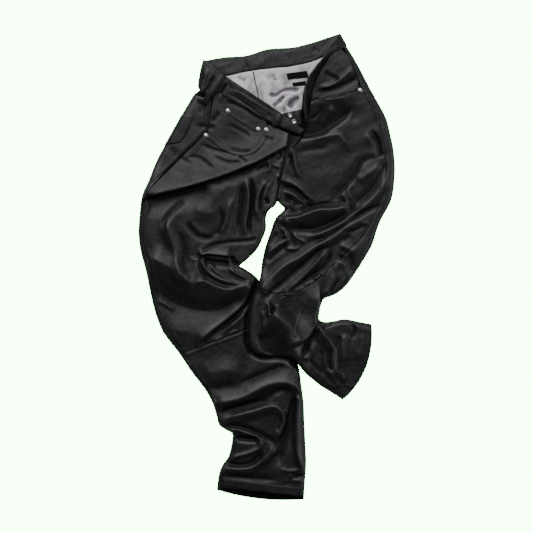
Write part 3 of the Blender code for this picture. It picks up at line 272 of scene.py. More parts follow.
LEFT_LEG_FOLDS = (
    Fold(((105, -69), (103, -103), (89, -123), (77, -141), (66, -163), (65, -189)), 11, 5, 30, 0, 0, 4.5),
    Fold(((111, -91), (105, -119), (89, -139), (77, -159), (75, -179)), -5, 14, 3, 0.15, 0.15),
    Fold(((101, 357), (135, 367), (179, 403)), 5, 9, 9, 0.2, 0.2),
    Fold(((99, 351), (143, 360), (185, 381)), -4.5, 9, 9, 0.2, 0.2),
    Fold(((131, 327), (123, 306), (105, 283)), 4, 9, 9),
    Fold(((67, 325), (113, 335), (157, 341), (183, 353)), 7, 6, 34, 0.15, 0.3),
    Fold(((173, 323), (145, 295), (105, 273), (61, 259)), -10, 9, 34, 0.2, 0.15),
    Fold(((115, 395), (125, 385), (147, 375)), -3, 6, 6),
    Fold(((111, 327), (103, 309), (85, 293)), -4, 6, 6),
    Fold(((87, 255), (117, 262), (145, 265), (159, 249), (173, 233)), 4, 9, 14, 0.2, 0.3),
    Fold(((63, 233), (93, 237), (127, 241)), -2, 10, 10),
    Fold(((157, 341), (171, 317), (179, 289)), -2, 14, 14),
    Fold(((69, 269), (97, 267), (127, 277)), -5, 8, 8, 0.1, 0.3),
    Fold(((207, 275), (221, 257), (226, 237), (229, 219)), -7, 7, 12, 0.25, 0.15),
    Fold(((227, 221), (205, 218), (189, 209), (179, 193), (170, 179), (159, 165), (147, 153), (139, 141),
          (127, 131)), -6.5, 7, 14, 0.35, 0.2),
    Fold(((195, 271), (211, 253), (215, 233), (201, 221)), 2.5, 9, 12),
    Fold(((139, 137), (149, 147), (158, 137), (163, 123)), 5, 5, 6),
    Fold(((167, 171), (163, 149), (171, 133)), 2.5, 8, 8),
    Fold(((243, 217), (225, 185), (211, 161), (193, 141), (171, 127)), -4.5, 9, 12, 0.2, 0.15),
    Fold(((233, 207), (203, 189), (179, 169)), 3, 12, 12),
    Fold(((27, 99), (59, 101), (83, 109), (103, 116), (127, 117), (149, 120), (165, 128)), 9, 8, 22, 0.1,
          0.1),
    Fold(((63, 133), (91, 123), (111, 127), (135, 131)), -3, 6, 6),
    Fold(((39, 83), (77, 77), (107, 81), (137, 95), (167, 111), (195, 129)), -8, 14, 10, 0.2, 0.2),
    Fold(((75, 58), (95, 64), (113, 71), (133, 81), (153, 93), (173, 109), (193, 121), (213, 139), (229, 159),
          (245, 191)), 8, 11, 9, 0.15, 0.15),
    Fold(((87, 53), (119, 60), (145, 75), (169, 93), (193, 111), (215, 121), (237, 127)), -8, 7, 9, 0.15,
          0.2),
    Fold(((-17, -49), (7, -23), (35, 3), (65, 20), (91, 38), (113, 52), (139, 68), (165, 87), (185, 96),
          (207, 100)), 12, 13, 15, 0.05, 0.2),
    Fold(((-9, -67), (11, -47), (33, -29), (55, -9), (73, 7), (93, 25), (111, 38), (135, 46)), -10, 8, 8, 0.1,
          0.2),
    Fold(((35, -53), (61, -31), (79, -11), (97, 8), (113, 27), (127, 41)), 7, 8, 8, 0.15, 0.2),
    Fold(((39, -51), (69, -30), (93, -14), (113, 1), (125, 21), (131, 41)), -8, 9, 9, 0.1, 0.2),
    Fold(((143, 46), (163, 39), (179, 25)), 4, 12, 8),
    Fold(((135, -5), (143, 11), (155, 6), (163, -5)), 4, 6, 6),
    Fold(((165, 31), (171, 13), (173, -7)), -6, 5, 6),
    Fold(((143, 25), (161, 13)), -3.5, 5, 5),
    Fold(((147, 69), (179, 77), (199, 89)), -2, 6, 6),
    Fold(((159, 1), (164, -17), (159, -33)), 5, 5, 6, 0.2, 0.2),
    Fold(((135, -15), (128, -35), (117, -53)), 6, 6, 4, 0.1, 0.1),
    Fold(((145, -19), (135, -37), (123, -55)), -6, 8, 6),
    Fold(((153, 53), (167, 65)), -2, 6, 6),
    Fold(((187, 89), (207, 89)), 2, 7, 7),
    Fold(((25, 175), (47, 170), (67, 158), (87, 139), (107, 127)), 7, 12, 6, 0.1, 0.3),
    Fold(((29, 163), (51, 158), (67, 148), (83, 131)), -8, 6, 6, 0.15, 0.25),
    Fold(((33, 153), (51, 147), (69, 133), (83, 121)), 6, 5, 4.5, 0.15, 0.25),
    Fold(((33, 145), (49, 138), (63, 121)), -5, 4.5, 4.5),
    Fold(((37, 135), (49, 127), (57, 113)), 5, 4, 4.5),
    Fold(((43, 249), (46, 229), (50, 207), (57, 185)), -6, 5, 5, 0.15, 0.4, 0.01),
    Fold(((49, 251), (52, 227), (57, 201), (71, 169)), 5, 8, 4, 0.2, 0.3),
    Fold(((67, 115), (79, 119), (91, 125)), -4, 5, 5),
    Fold(((37, 139), (49, 125)), -7, 8, 8, 0.3, 0.3, 0.01),
    Fold(((-5, 23), (9, 35), (25, 47), (41, 57), (39, 66), (49, 73)), 6, 6, 6, 0.15, 0.2),
    Fold(((-1, 11), (19, 29), (35, 41), (49, 51)), -5.5, 6, 6, 0.2, 0.25),
    Fold(((53, 69), (63, 59), (73, 54), (81, 47)), 5, 4.5, 4.5),
    Fold(((49, 74), (51, 57), (61, 41)), -5, 4.5, 4.5),
    Fold(((35, 41), (51, 38), (69, 41)), 4, 5, 5),
    Fold(((25, 81), (39, 71), (33, 57)), 4, 5, 5),
    Fold(((17, 101), (35, 93), (51, 89)), 3, 7, 7),
    Fold(((-1, 47), (11, 57), (23, 73)), -4, 5, 6),
    Fold(((7, -87), (31, -104), (55, -125), (69, -151)), 13, 26, 34, 0.12, 0.12),
    Fold(((-1, -65), (5, -81), (4, -99)), 6, 5, 5),
    Fold(((7, -69), (13, -89)), -6, 5, 5),
    Fold(((-10, -83), (-5, -103), (-11, -125)), 6, 6, 4.5),
    Fold(((-19, -127), (-3, -159), (25, -179), (53, -193)), -9, 34, 8, 0.2, 0.2),
    Fold(((19, -75), (7, -91)), -4, 5, 5),
    Fold(((35, -53), (51, -51)), 2.5, 4, 4),
    Fold(((55, -45), (71, -39)), 2.5, 4, 4),
    Fold(((73, -33), (87, -25)), 2.5, 4, 4),
    Fold(((93, -23), (107, -13)), 2.5, 4, 4),
    Fold(((103, -111), (114, -131), (128, -148), (136, -163), (136, -185), (138, -203), (150, -211),
          (154, -231)), 7, 7, 18, 0.08, 0.15),
    Fold(((128, -159), (124, -183), (129, -209)), -7, 6, 8, 0.2, 0.2),
    Fold(((109, -159), (111, -187), (115, -211)), -3, 8, 8),
    Fold(((93, -147), (87, -167), (75, -187)), 5, 10, 10),
    Fold(((107, -120), (119, -116), (133, -111)), -5, 5, 5, 0.1, 0.3),
    Fold(((171, -109), (175, -125), (167, -143)), -4, 7, 7),
    Fold(((159, -127), (153, -157), (153, -191)), 4, 10, 12),
    Fold(((145, -135), (140, -159)), -3, 5, 5),
    Fold(((189, -127), (191, -157), (179, -187)), 2.5, 8, 8),
    Fold(((121, -197), (135, -221), (147, -243)), 3, 8, 8),
    Fold(((83, -181), (99, -199), (119, -215)), -2, 6, 6),
)
SATIN_FOLDS = (
    Fold(((-73, 379), (-53, 365), (-41, 349)), 1.6, 10, 10, 0.3, 0.3),
    Fold(((-61, 385), (-39, 373)), -1.4, 7, 7, 0.3, 0.3),
    Fold(((3, 349), (19, 344), (31, 353), (47, 357), (71, 357)), -3, 7, 6, 0.15, 0.2),
    Fold(((9, 337), (23, 343), (37, 349), (59, 351)), 2.4, 5, 6),
    Fold(((11, 321), (25, 333), (37, 347)), -2.6, 6, 6, 0.2, 0.2),
    Fold(((19, 317), (33, 329), (45, 341), (67, 349)), 3, 7, 8, 0.2, 0.2),
    Fold(((43, 319), (55, 333), (67, 345)), -4, 9, 9, 0.2, 0.2),
    Fold(((-9, 381), (3, 365), (-1, 345)), 1.8, 9, 9),
    Fold(((11, 389), (19, 373)), -1.3, 7, 7),
    Fold(((67, 337), (79, 357), (91, 385)), -2, 8, 8),
    Fold(((-17, 333), (-1, 325)), 1.4, 7, 7),
)
BAND_FOLDS = (
    Fold(((-78, 369), (-95, 344), (-113, 317)), -4.5, 5, 6, 0.15, 0.1),
    Fold(((-115, 401), (-125, 373), (-131, 341)), 1.8, 4, 4),
    Fold(((-103, 385), (-117, 359), (-133, 335)), -3, 4, 4, 0.15, 0.1),
    Fold(((-95, 385), (-107, 357), (-119, 335)), 1.5, 3, 3),
    Fold(((-123, 409), (-131, 381), (-135, 353)), -1.2, 4, 4),
    Fold(((-71, 357), (-41, 341), (-9, 320)), 1.4, 4, 4),
    Fold(((-81, 351), (-51, 334), (-21, 313)), -1.6, 3, 3),
    Fold(((-41, 347), (-9, 327), (19, 307)), -1, 3, 3),
    Fold(((3, 309), (11, 297)), -1.5, 3, 3),
    Fold(((-77, 369), (-67, 353)), -1.2, 3, 3),
    Fold(((-44, 421), (-35, 395)), -1.5, 2.2, 2.2),
    Fold(((-9, 423), (-5, 401)), 0.7, 5, 5),
    Fold(((31, 429), (67, 437)), 0.7, 5, 5),
    Fold(((-103, 401), (-69, 409)), 0.7, 5, 5),
    Fold(((91, 441), (111, 429)), -0.8, 5, 5),
    Fold(((67, 413), (103, 425)), -0.7, 4, 4),
)

# The forms of the solids, mm.
RIGHT_SEAT = [
    Station("waist", (-146, 343), (-110, 331), (-33, 390), None, 0, 0, -8),
    Station("seat_1", (-165, 311), (-114.4, 301), (-25, 349), None, 0, 0),
    Station("seat_2", (-193, 261), (-122, 267), (-13, 289), None, 0, 0),
    Station("seat_3", (-219, 213), (-163, 226.6), (-1, 223), None, 0, 0),
    Station("seat_4", (-236, 171), (-205.8, 184.6), (7, 181), None, 0, 0),
]
RIGHT_HIP_FRONT = [
    Station("pocket", (-181, 283), (-119.8, 267.6), None, (3.6, 283), 42, 0),
    Station("below_pocket", (-207, 235), (-140.6, 245), None, (21, 275.8), 36, 0),
    Station("hip", (-223, 199), (-171.8, 215.6), None, (39, 268.6), 25, 0),
    Station("above_lip", (-240, 165), (-211.8, 175), None, (55, 263), 14, 0),
]
RIGHT_LEG = [
    Station("lip", (-249, 141), (-238, 143), (13, 155), (66, 260.2), 9, 0),
    Station("thigh_1", (-253.8, 105), (-245, 106), (16.2, 139), (46.2, 217), 8, 0),
    Station("thigh_2", (-256, 75), (-247.4, 75), (18.2, 131), (29.8, 169), 6, 0),
    Station("crotch", (-255.4, 57), (-247, 57), (15, 125), (20.5, 128), 4, 0.3),
    tube_row("thigh_3", (-254, 43), (-245.6, 44), (3.6, 110), 2),
    tube_row("thigh_4", (-250.4, 25), (-241.8, 27), (-1, 95)),
    tube_row("thigh_5", (-245, 5), (-236.6, 8), (-1.4, 73)),
    tube_row("thigh_6", (-239, -19), (-231, -16.6), (-17, 37)),
    tube_row("thigh_7", (-233, -49), (-225, -47), (-40, 12.4)),
    tube_row("thigh_8", (-226.6, -77), (-218.6, -74.6), (-53, 1.4)),
    tube_row("thigh_9", (-219, -103), (-211, -100), (-39, -7)),
    tube_row("thigh_10", (-207, -131), (-199.6, -127), (-16, -26)),
    tube_row("thigh_11", (-191, -153), (-184, -149), (3, -67)),
    tube_row("knee", (-173, -176), (-166.4, -172.6), (25, -102)),
    tube_row("shin_1", (-151, -209), (-144, -205.6), (47, -157)),
    tube_row("shin_2", (-125, -243), (-117.6, -240), (64, -199)),
    tube_row("shin_3", (-109, -271), (-101.4, -268.6), (70, -237)),
    tube_row("shin_4", (-100.4, -297), (-92.6, -295.4), (74.4, -271)),
    tube_row("shin_5", (-95, -316.4), (-87, -315), (75.6, -299)),
    tube_row("shin_6", (-81, -327), (-73.4, -325.4), (76.4, -321)),
    tube_row("shin_7", (-68.4, -335), (-60.4, -335.4), (77.4, -341)),
    tube_row("shin_8", (-70.4, -357), (-62.4, -357.8), (78.4, -363)),
    tube_row("shin_9", (-76.4, -380), (-68.6, -381.8), (79.6, -387)),
    tube_row("shin_10", (-88, -396), (-80.4, -398.6), (79, -407)),
    tube_row("shin_11", (-95.4, -416), (-87.4, -417.4), (77, -431), 0, 1, 4),
    tube_row("hem", (-99.6, -446.2), (-91.6, -447), (74.8, -465), 0, 1, 8.5),
]
LEFT_SEAT = [
    Station("waist", (159, 442), (154, 439.4), (-32, 389.8), (145, 433), 0, 0, 13),
    Station("seat_1", (182, 404), (173, 400), (-23.4, 349), (109, 385), 0, 0),
]
LEFT_LEG = [
    Station("pocket", (205, 360), (189, 356), (-17.4, 319), (90.6, 334), 5, 0),
    Station("hip_1", (221, 331), (204.4, 334), (-11.4, 289), (85.6, 307), 2, 0),
    Station("hip_2", (239, 297), (220.4, 301), (-6, 257), (80.4, 278), 0, 0),
    Station("hip_3", (248, 263), (229, 268), (0, 225), (72, 257), 0, 0),
    Station("hip_4", (254.4, 231), (235, 233), (5.6, 197), (51.6, 229), 0, 0),
    Station("hip_5", (257, 193), (237.6, 193), (11.4, 169), (35.4, 185), 0, 0),
    Station("hip_6", (253.4, 149), (235, 153), (17, 141), (26.4, 145), 0, 0),
    Station("arch_1", (246.4, 125), (229, 132), (25, 126.6), (26, 127), 0, 0.4),
    tube_row("arch_2", (236, 106), (219.6, 112), (35.8, 115.4)),
    tube_row("arch_3", (229, 93), (213, 98), (26.6, 105.8)),
    tube_row("thigh_1", (221.6, 75), (205, 81), (16.4, 94)),
    tube_row("thigh_2", (212, 45), (189, 57), (7, 67)),
    tube_row("thigh_3", (196, 15.8), (163, 30), (-3.6, 35), 2),
    tube_row("thigh_4", (177, -14), (141, 10), (-9.8, 5), 6),
    tube_row("thigh_5", (159, -39), (126, -3), (-13, -21), 14),
    tube_row("knee", (141, -53.8), (117.6, -12), (-21, -43), 24),
    tube_row("shin_1", (127, -60.2), (114.8, -35), (-29, -62), 12),
    tube_row("shin_2", (114.2, -65.8), (109.4, -60.2), (-35, -89), 4),
    tube_row("shin_3", (108.2, -81), (107.8, -80), (-36.4, -113), 2),
    tube_row("shin_4", (105.8, -93), (105.4, -92.6), (-37.4, -141)),
    tube_row("shin_5", (104.8, -99), (104.4, -99), (-30, -168)),
    tube_row("shin_6", (104.6, -101.8), (104.2, -102), (-9, -177.4)),
    tube_row("shin_7", (105, -104.2), (104.6, -104.6), (21, -179.4)),
    tube_row("shin_8", (106.2, -106.2), (105.8, -106.8), (47, -183.4)),
    tube_row("lip", (108.2, -108), (107.8, -108.6), (64.2, -197)),
    tube_row("cuff_1", (112, -109.8), (111.8, -110.4), (77, -213)),
    tube_row("cuff_2", (122, -110.6), (121.8, -111.2), (91, -225)),
    tube_row("cuff_3", (137, -108.2), (136.8, -108.6), (107, -238), 3, 1, 3),
    tube_row("cuff_4", (157, -105), (156.8, -105.4), (123, -248), 8, 1, 8),
    tube_row("cuff_5", (182, -109.6), (181.8, -110), (138, -257.6), 13, 1, 13),
    tube_row("hem", (209.8, -115), (209.6, -115.4), (151.8, -266.2), 20, 1, 20),
]
CROSSED_EDGE = ((-35, -7), (-16, -26), (3, -67), (25, -102), (47, -157), (64, -199), (70, -237),
                (74.4, -271))
CROSSING_EDGE = ((-7, 19), (-9.8, 5), (-13, -21), (-21, -43), (-29, -62), (-35, -89), (-37.8, -145),
                 (-30, -168), (-9, -177.4), (21, -179.4), (47, -183.4), (64.2, -197), (89, -224.6),
                 (123, -248))
BANDS = {
    "right": [
        Strip("turn", (-138.2, 361), 3.2, (-127.2, 413.6), 3.2),
        Strip("turned", (-135.8, 356), 10.0, (-124.6, 411.8), 9.5),
        Strip("side", (-126, 344.4), 13.6, (-109, 401), 13.6),
        Strip("loop", (-99, 345.8), 13.2, (-81, 378.4), 15.0),
        Strip("pocket", (-53, 321.4), 13.0, (-33, 346.4), 16.0),
        Strip("coin", (-21, 304.2), 13.4, (1, 324.2), 16.4),
        Strip("loop_2", (9, 287), 15.0, (29, 305), 17.0),
        Strip("front", (41, 272.6), 17.5, (55, 286.6), 19.0),
        Strip("end", (66, 264.4), 20.0, (74.2, 271.8), 21.0),
    ],
    "left": [
        Strip("turn", (147.4, 465.8), 3.6, (160.5, 442.5), 4.4),
        Strip("turned", (140.6, 455.8), 12.0, (154, 436.5), 11.4),
        Strip("side", (121, 432.2), 24.0, (137, 427.5), 12.0),
        Strip("pocket", (113.4, 414.6), 29.0, (123, 411.4), 10.2),
        Strip("middle", (97.6, 393.8), 32.0, (107.4, 392.2), 10.6),
        Strip("front_1", (85, 375), 33.0, (97.4, 375), 10.8),
        Strip("front_2", (77.4, 354), 33.0, (91, 354), 10.8),
        Strip("front_3", (75.6, 331), 32.0, (87.8, 333), 12.0),
        Strip("front_4", (76.2, 309), 30.0, (84.6, 310.2), 13.5),
        Strip("end", (79, 289), 26.0, (82.2, 289.8), 16.5),
    ],
    "back": [
        Strip("turn", (-130, 368), 3.6, (-121.8, 410.4), 3.6),
        Strip("turned", (-121, 371.4), 2.7, (-115, 412.6), 2.7),
        Strip("right", (-81, 381.6), 4.6, (-81, 418.2), 2.7),
        Strip("centre", (-33, 391.6), 4.6, (-41, 421), 2.7),
        Strip("left_1", (7, 396.8), 4.6, (3, 434), 2.7),
        Strip("left_2", (51, 401.4), 4.6, (53, 437.8), 2.7),
        Strip("left_3", (91, 410.8), 4.6, (85, 445.4), 2.7),
        Strip("left_4", (115, 421.2), 4.6, (115, 454.6), 2.7),
        Strip("end", (127, 430), 4.6, (146.6, 465.6), 3.6),
    ],
}
FACING_RIGHT = [
    flat_row("seam", (-104, 350), (-3, 305)),
    flat_row("coin", (-111.8, 303.8), (-2.2, 290.6)),
    flat_row("mouth", (-117.4, 272.2), (-0.2, 287)),
    flat_row("tuck", (-118.6, 261), (4, 273)),
]
FACING_RIGHT_BOW = (-2, 24, 42, 42)
FACING_LEFT = [
    flat_row("tip", (145, 434.2), (151, 431.8)),
    flat_row("upper", (132.8, 426.6), (163.3, 418.6)),
    flat_row("middle", (109.4, 391), (176.2, 388)),
    flat_row("lower", (92.8, 353), (183.3, 367)),
    flat_row("mouth", (88, 324), (187.6, 345)),
]
COIN_POCKET = [
    flat_row("left", (-79, 312.2), (-93.8, 247.8)),
    flat_row("left_middle", (-63, 301), (-73, 235.8)),
    flat_row("middle", (-47, 291), (-53, 231.4)),
    flat_row("right_middle", (-31, 281), (-36, 233)),
    flat_row("right", (-14.2, 271.8), (-21.8, 245.8)),
]
LINING_RIGHT = [
    flat_row("top", (-106, 377), (-29.5, 394)),
    flat_row("upper", (-94, 362), (-23.7, 365)),
    flat_row("middle", (-68, 346), (-18.1, 339)),
    flat_row("lower", (-44, 330), (-12.7, 311)),
    flat_row("tuck", (-25, 318), (-9, 307)),
]
LINING_LEFT = [
    flat_row("top", (-28.8, 394.2), (121, 422)),
    flat_row("upper", (-23, 365), (101, 391)),
    flat_row("middle", (-17.4, 339), (84, 369)),
    flat_row("lower", (-12, 311), (73, 343)),
    flat_row("front", (6, 298), (70, 313)),
    flat_row("tuck", (22, 290), (67, 289)),
]
LINING_LEFT_BOW = (2, 2, 0, 0, 0, 0)
BUTTON_STAND = [
    flat_row("upper", (33, 305), (70, 314)),
    flat_row("middle", (43, 292), (70, 297)),
    flat_row("lower", (51, 279), (69, 285)),
]
LABELS = {
    "label_large": ((40, 385.4), (80.6, 390.6), (83.6, 377.8), (43, 373.4)),
    "label_small": ((51.4, 367), (78.2, 370.2), (77, 362.2), (53, 359.8)),
}
BELT_LOOPS = {
    "belt_loop_side": ((-86, 384), (-106, 353), (-125, 324), 11.0),
    "belt_loop_front": ((27.6, 305.8), (21.6, 292.2), (14.2, 277.8), 10.0),
}
RIVETS = {
    "rivet_coin_outer": (-77, 310),
    "rivet_coin_inner": (-16.4, 273.4),
    "rivet_pocket_front": (-0.4, 271.8),
    "rivet_pocket_side": (-121, 261),
    "rivet_left_pocket": (186.6, 351),
}
FLY_BUTTONS = {
    "fly_button_upper": (47, 301.8),
    "fly_button_lower": (55, 288.6),
}

# Sewing: what carries it, a doubled edge's width, and rows of places, mm.
BAND_STITCH_SHARES = (0.09, 0.91)          # rows along a band, as shares of its width
WELTS = {
    "hip_pocket": ("front_right_skin", 9.0, (
        (-122.2, 264.2), (-105, 250.6), (-85, 235), (-59, 225.8), (-34.2, 226.2), (-14.2, 240.6),
         (-0.2, 264.2))),
    "left_pocket": ("front_left_skin", 8.5, (
        (183, 354.6), (175, 353), (155.4, 341), (133.4, 334.6), (114.4, 334.6), (93.8, 331.8))),
    # The lining seam is a raised strip in the near-black flesh finish: the strip is real, its black colour is
    # painted shade of the seam's groove.
    "lining_seam": ("lining_left_skin", 1.2, ((-26.2, 389), (-22.6, 369), (-18.2, 349), (-15, 333))),
    "coin_top": ("coin_pocket_skin", 7.0, ((-76.2, 306.6), (-61, 296.6), (-45, 286.6), (-19, 271))),
    "side_right": ("back_right_skin", 8.0, (
        (-115.8, 327), (-121, 301), (-126.2, 273.8), (-165.8, 232.6), (-219.4, 181), (-231, 169))),
    "thigh_side": ("front_right_skin", 6.0, (
        (-235.8, 127), (-239, 105), (-239.8, 77), (-238.6, 57), (-235.2, 35), (-229.6, 11), (-223.2, -17),
         (-216.2, -47),
        (-209.4, -75), (-200.2, -101), (-188.2, -127), (-169.8, -159))),
    "shin_side": ("shin_right_skin", 6.0, (
        (-157, -187), (-137, -212.2), (-117.8, -235), (-104.2, -259), (-96.2, -285), (-90.2, -307))),
    "fly": ("front_left_skin", 7.0, ((55, 247), (46.2, 219), (37.4, 187), (29.4, 157), (24.6, 135))),
    "knee_right": ("shin_right_skin", 6.0, ((-165, -179), (-137, -167.8), (-107, -156.2), (-73, -143.4),
    (-41, -130.6))),
    "knee_left": ("shin_left_skin", 6.0, ((116.2, -13.8), (91, -27), (68.2, -43.4), (46.2, -57),
    (28.2, -65.8))),
    "shin_seam": ("shin_left_skin", 6.0, ((79, -71), (68.2, -91), (59.8, -121), (56.6, -139.6))),
    "hem_right": ("shin_right_skin", 16.0, (
        (-91, -428.2), (-63.8, -432.2), (-35, -436.6), (-6, -441), (33, -445.8), (71, -449.8))),
    "hem_left": ("shin_left_skin", 19.0, (
        (198.2, -125), (195.8, -143), (191, -164), (180.6, -201), (164.2, -242.2))),
    "inseam_left": ("shin_left_skin", 6.0, ((99, -209.8), (118.2, -227.8), (137, -241.8))),
    "outseam_left": ("front_left_skin", 6.0, (
        (195, 351), (203.8, 335), (214.2, 317), (221.4, 297), (226.6, 281))),
}
STITCHES = {
    "pocket_right": (("front_right_skin",), (
        ((-122, 266), (-105, 252.4), (-84, 236.4), (-59, 227.8), (-36, 228.2), (-17, 241.4), (-3, 267)),
        ((-124, 261), (-107, 247.4), (-85, 231.4), (-59, 223), (-34, 223.4), (-13, 238.2), (1, 263)))),
    "pocket_left": (("front_left_skin",), (
        ((183, 355.4), (174.6, 353.8), (155, 341.8), (133, 335.4), (114.4, 335.4), (93, 332.6)),
        ((183, 350.2), (175.6, 349), (156, 337), (133.8, 330.6), (114.4, 330.6), (93, 327.8)))),
    "coin_pocket": (("coin_pocket_skin",), (
        ((-75, 306.6), (-61, 297), (-45, 287.8), (-20, 271)), ((-75, 301.4), (-61, 291.8), (-45, 282.6),
         (-23, 267)),
        ((-21, 264), (-29, 255), (-39, 247)))),
    "facing_right": (("facing_right_skin",), (
        ((-104, 327), (-109, 301), (-115.4, 275)),)),
    "side_right": (("back_right_skin",), (
        ((-113, 327), (-118.2, 301), (-123.8, 273), (-163.8, 231), (-217.8, 179), (-245, 153)),
        ((-118.2, 327), (-123.4, 301), (-128.2, 275.8), (-167, 235.4), (-220.2, 184.2)))),
    "thigh_side_right": (("front_right_skin",), (
        ((-241, 133), (-245, 105), (-245.4, 77), (-244.2, 57), (-240.8, 35), (-235.2, 11), (-228.8, -17),
         (-221.8, -47),
         (-215, -75), (-205.8, -101), (-193.8, -129), (-173, -167)),)),
    "fly_right": (("front_right_skin", "fly_flap_skin"), (
        ((6, 219), (5, 197), (5, 173), (7.8, 145), (15, 128)),
        ((0.6, 217.8), (-0.4, 197), (-0.4, 173), (2.6, 143), (10, 125)))),
    "fly_edge": (("front_left_skin",), (
        ((54, 249), (44.2, 221), (35, 189), (27, 157), (22.2, 133)),
        ((59, 247), (49, 219), (39.8, 187), (31.8, 155), (27, 133)))),
    "knee_right": (("front_right_skin",), (
        ((-167, -169.4), (-139, -158.2), (-109, -146.6), (-75, -133.8), (-43, -121)),)),
    "knee_right_low": (("shin_right_skin",), (
        ((-163, -177.8), (-135, -166.2), (-107, -155), (-73, -142.2), (-41, -129.4)),)),
    "shin_side_right": (("shin_right_skin",), (
        ((-159, -191), (-143, -211), (-121, -239), (-108, -261), (-99.8, -287), (-92.2, -312.2)),)),
    "hem_right": (("shin_right_skin",), (
        ((-89.8, -419.8), (-63.4, -425.4), (-35, -428.6), (-6, -431), (33, -434.2), (72.2, -437)),)),
    "knee_left": (("front_left_skin",), (
        ((114.2, -5), (87, -19.8), (65, -35.8), (43, -49.4), (27, -57)),)),
    "knee_left_low": (("shin_left_skin",), (
        ((117, -13), (91.8, -26.6), (69, -43), (47, -56.6), (29, -65)),)),
    "shin_side_left": (("shin_left_skin",), (
        ((82, -68.2), (69.8, -88.6), (61.6, -121), (58.6, -139.6)),)),
    "side_left": (("front_left_skin",), (
        ((190.2, 351), (199, 335), (209.8, 317), (217, 297), (221.8, 281)), ((219, 109), (197, 75),
         (173, 51)))),
    "inseam_left": (("shin_left_skin",), (
        ((100.4, -205), (119, -223), (137.8, -237.4)), ((103, -200.6), (121.8, -218.6), (140.6, -233)))),
    "hem_left": (("shin_left_skin",), (
        ((189, -123), (186.6, -141), (182.2, -160), (171.8, -197), (155.6, -239.6)),)),
    "back_pocket": (("back_pocket_skin",), (
        ((-171, 305), (-154, 285)), ((-175.8, 301.8), (-158.2, 281)), ((-153.4, 284.2), (-193, 250.2)))),
}
SEWN_ON = {f"welt_{name}": only for name, (only, _, _) in WELTS.items()}
SEWN_ON |= {f"stitches_{name}": only[0] for name, (only, _) in STITCHES.items()}
SEWN_ON |= {f"stitches_band_{side}": f"waistband_{side}_skin" for side in BANDS}
SEWN_ON |= {"belt_loop_side_strap": "waistband_right_skin", "belt_loop_front_strap": "waistband_right_skin",
            "label_large_cloth": "lining_left_skin", "label_small_cloth": "lining_left_skin"}


def curve_through(points: Sequence, params: Sequence[float]) -> np.ndarray:
    """Return the points of a Catmull-Rom curve.

    Args:
        points: The curve's control points or values.
        params: Where to read it, from 0 to len(points) - 1.

    Returns:
        One row for each param.
    """
    control = np.asarray(points, float)
    if control.ndim == 1:
        control = control[:, None]
    padded = np.vstack([2 * control[0] - control[1], control, 2 * control[-1] - control[-2]])
    params = np.clip(np.asarray(params, float), 0, len(control) - 1)
    start = np.minimum(params.astype(int), len(control) - 2)
    t = (params - start)[:, None]
    a, b, c, d = (padded[start + k] for k in range(4))
    square, cube = 2 * a - 5 * b + 4 * c - d, 3 * b - a - 3 * c + d
    return 0.5 * (2 * b + (c - a) * t + square * t ** 2 + cube * t ** 3)


def row_curve(row: Sequence[Place], step: float, fewest: int) -> np.ndarray:
    """Return the points of the curve through a row's corners, about a step apart."""
    span = sum(math.dist(a, b) for a, b in zip(row[:-1], row[1:]))
    return curve_through(row, np.linspace(0, len(row) - 1, max(fewest, round(span / step))))


def soft_floor(height: np.ndarray, lowest: float) -> np.ndarray:
    """Return heights that ease towards the lowest one instead of going below it."""
    return lowest + np.log1p(np.exp(np.clip((height - lowest) / FLOOR_EASE, -30, 30))) * FLOOR_EASE


def smooth_step(x: np.ndarray) -> np.ndarray:
    """Ease from 0 to 1 as x goes from 0 to 1."""
    x = np.clip(x, 0, 1)
    return x * x * (3 - 2 * x)


def bow_of(share: np.ndarray) -> np.ndarray:
    """Return how far a bow has risen at shares of its span: 0 at both ends and 1 in the middle."""
    return 4 * share * (1 - share)


def measure_from_path(points: np.ndarray, path: np.ndarray) -> tuple[np.ndarray, np.ndarray, np.ndarray]:
    """Measure points from a path on the floor.

    Args:
        points: Places on the floor, one in each row.
        path: The path's corners.

    Returns:
        Distances from the path, above 0 on its left, shares of its length, and vectors to its left.
    """
    distance = np.full(len(points), np.inf)
    share = np.zeros(len(points))
    left = np.zeros((len(points), 2))
    side = np.ones(len(points))
    runs = path[1:] - path[:-1]
    lengths = np.maximum(np.hypot(runs[:, 0], runs[:, 1]), 1e-6)
    travelled = np.concatenate([[0], np.cumsum(lengths)])
    for start, run, length, before in zip(path[:-1], runs, lengths, travelled):
        offset = points - start
        along = np.clip(offset @ run / length ** 2, 0, 1)
        away = offset - along[:, None] * run
        gap = np.hypot(away[:, 0], away[:, 1])
        nearer = gap < distance
        distance[nearer] = gap[nearer]
        share[nearer] = ((before + along * length) / travelled[-1])[nearer]
        side[nearer] = np.where(run[0] * offset[:, 1] - run[1] * offset[:, 0] >= 0, 1, -1)[nearer]
        left[nearer] = np.array([-run[1], run[0]]) / length
    return distance * side, share, left


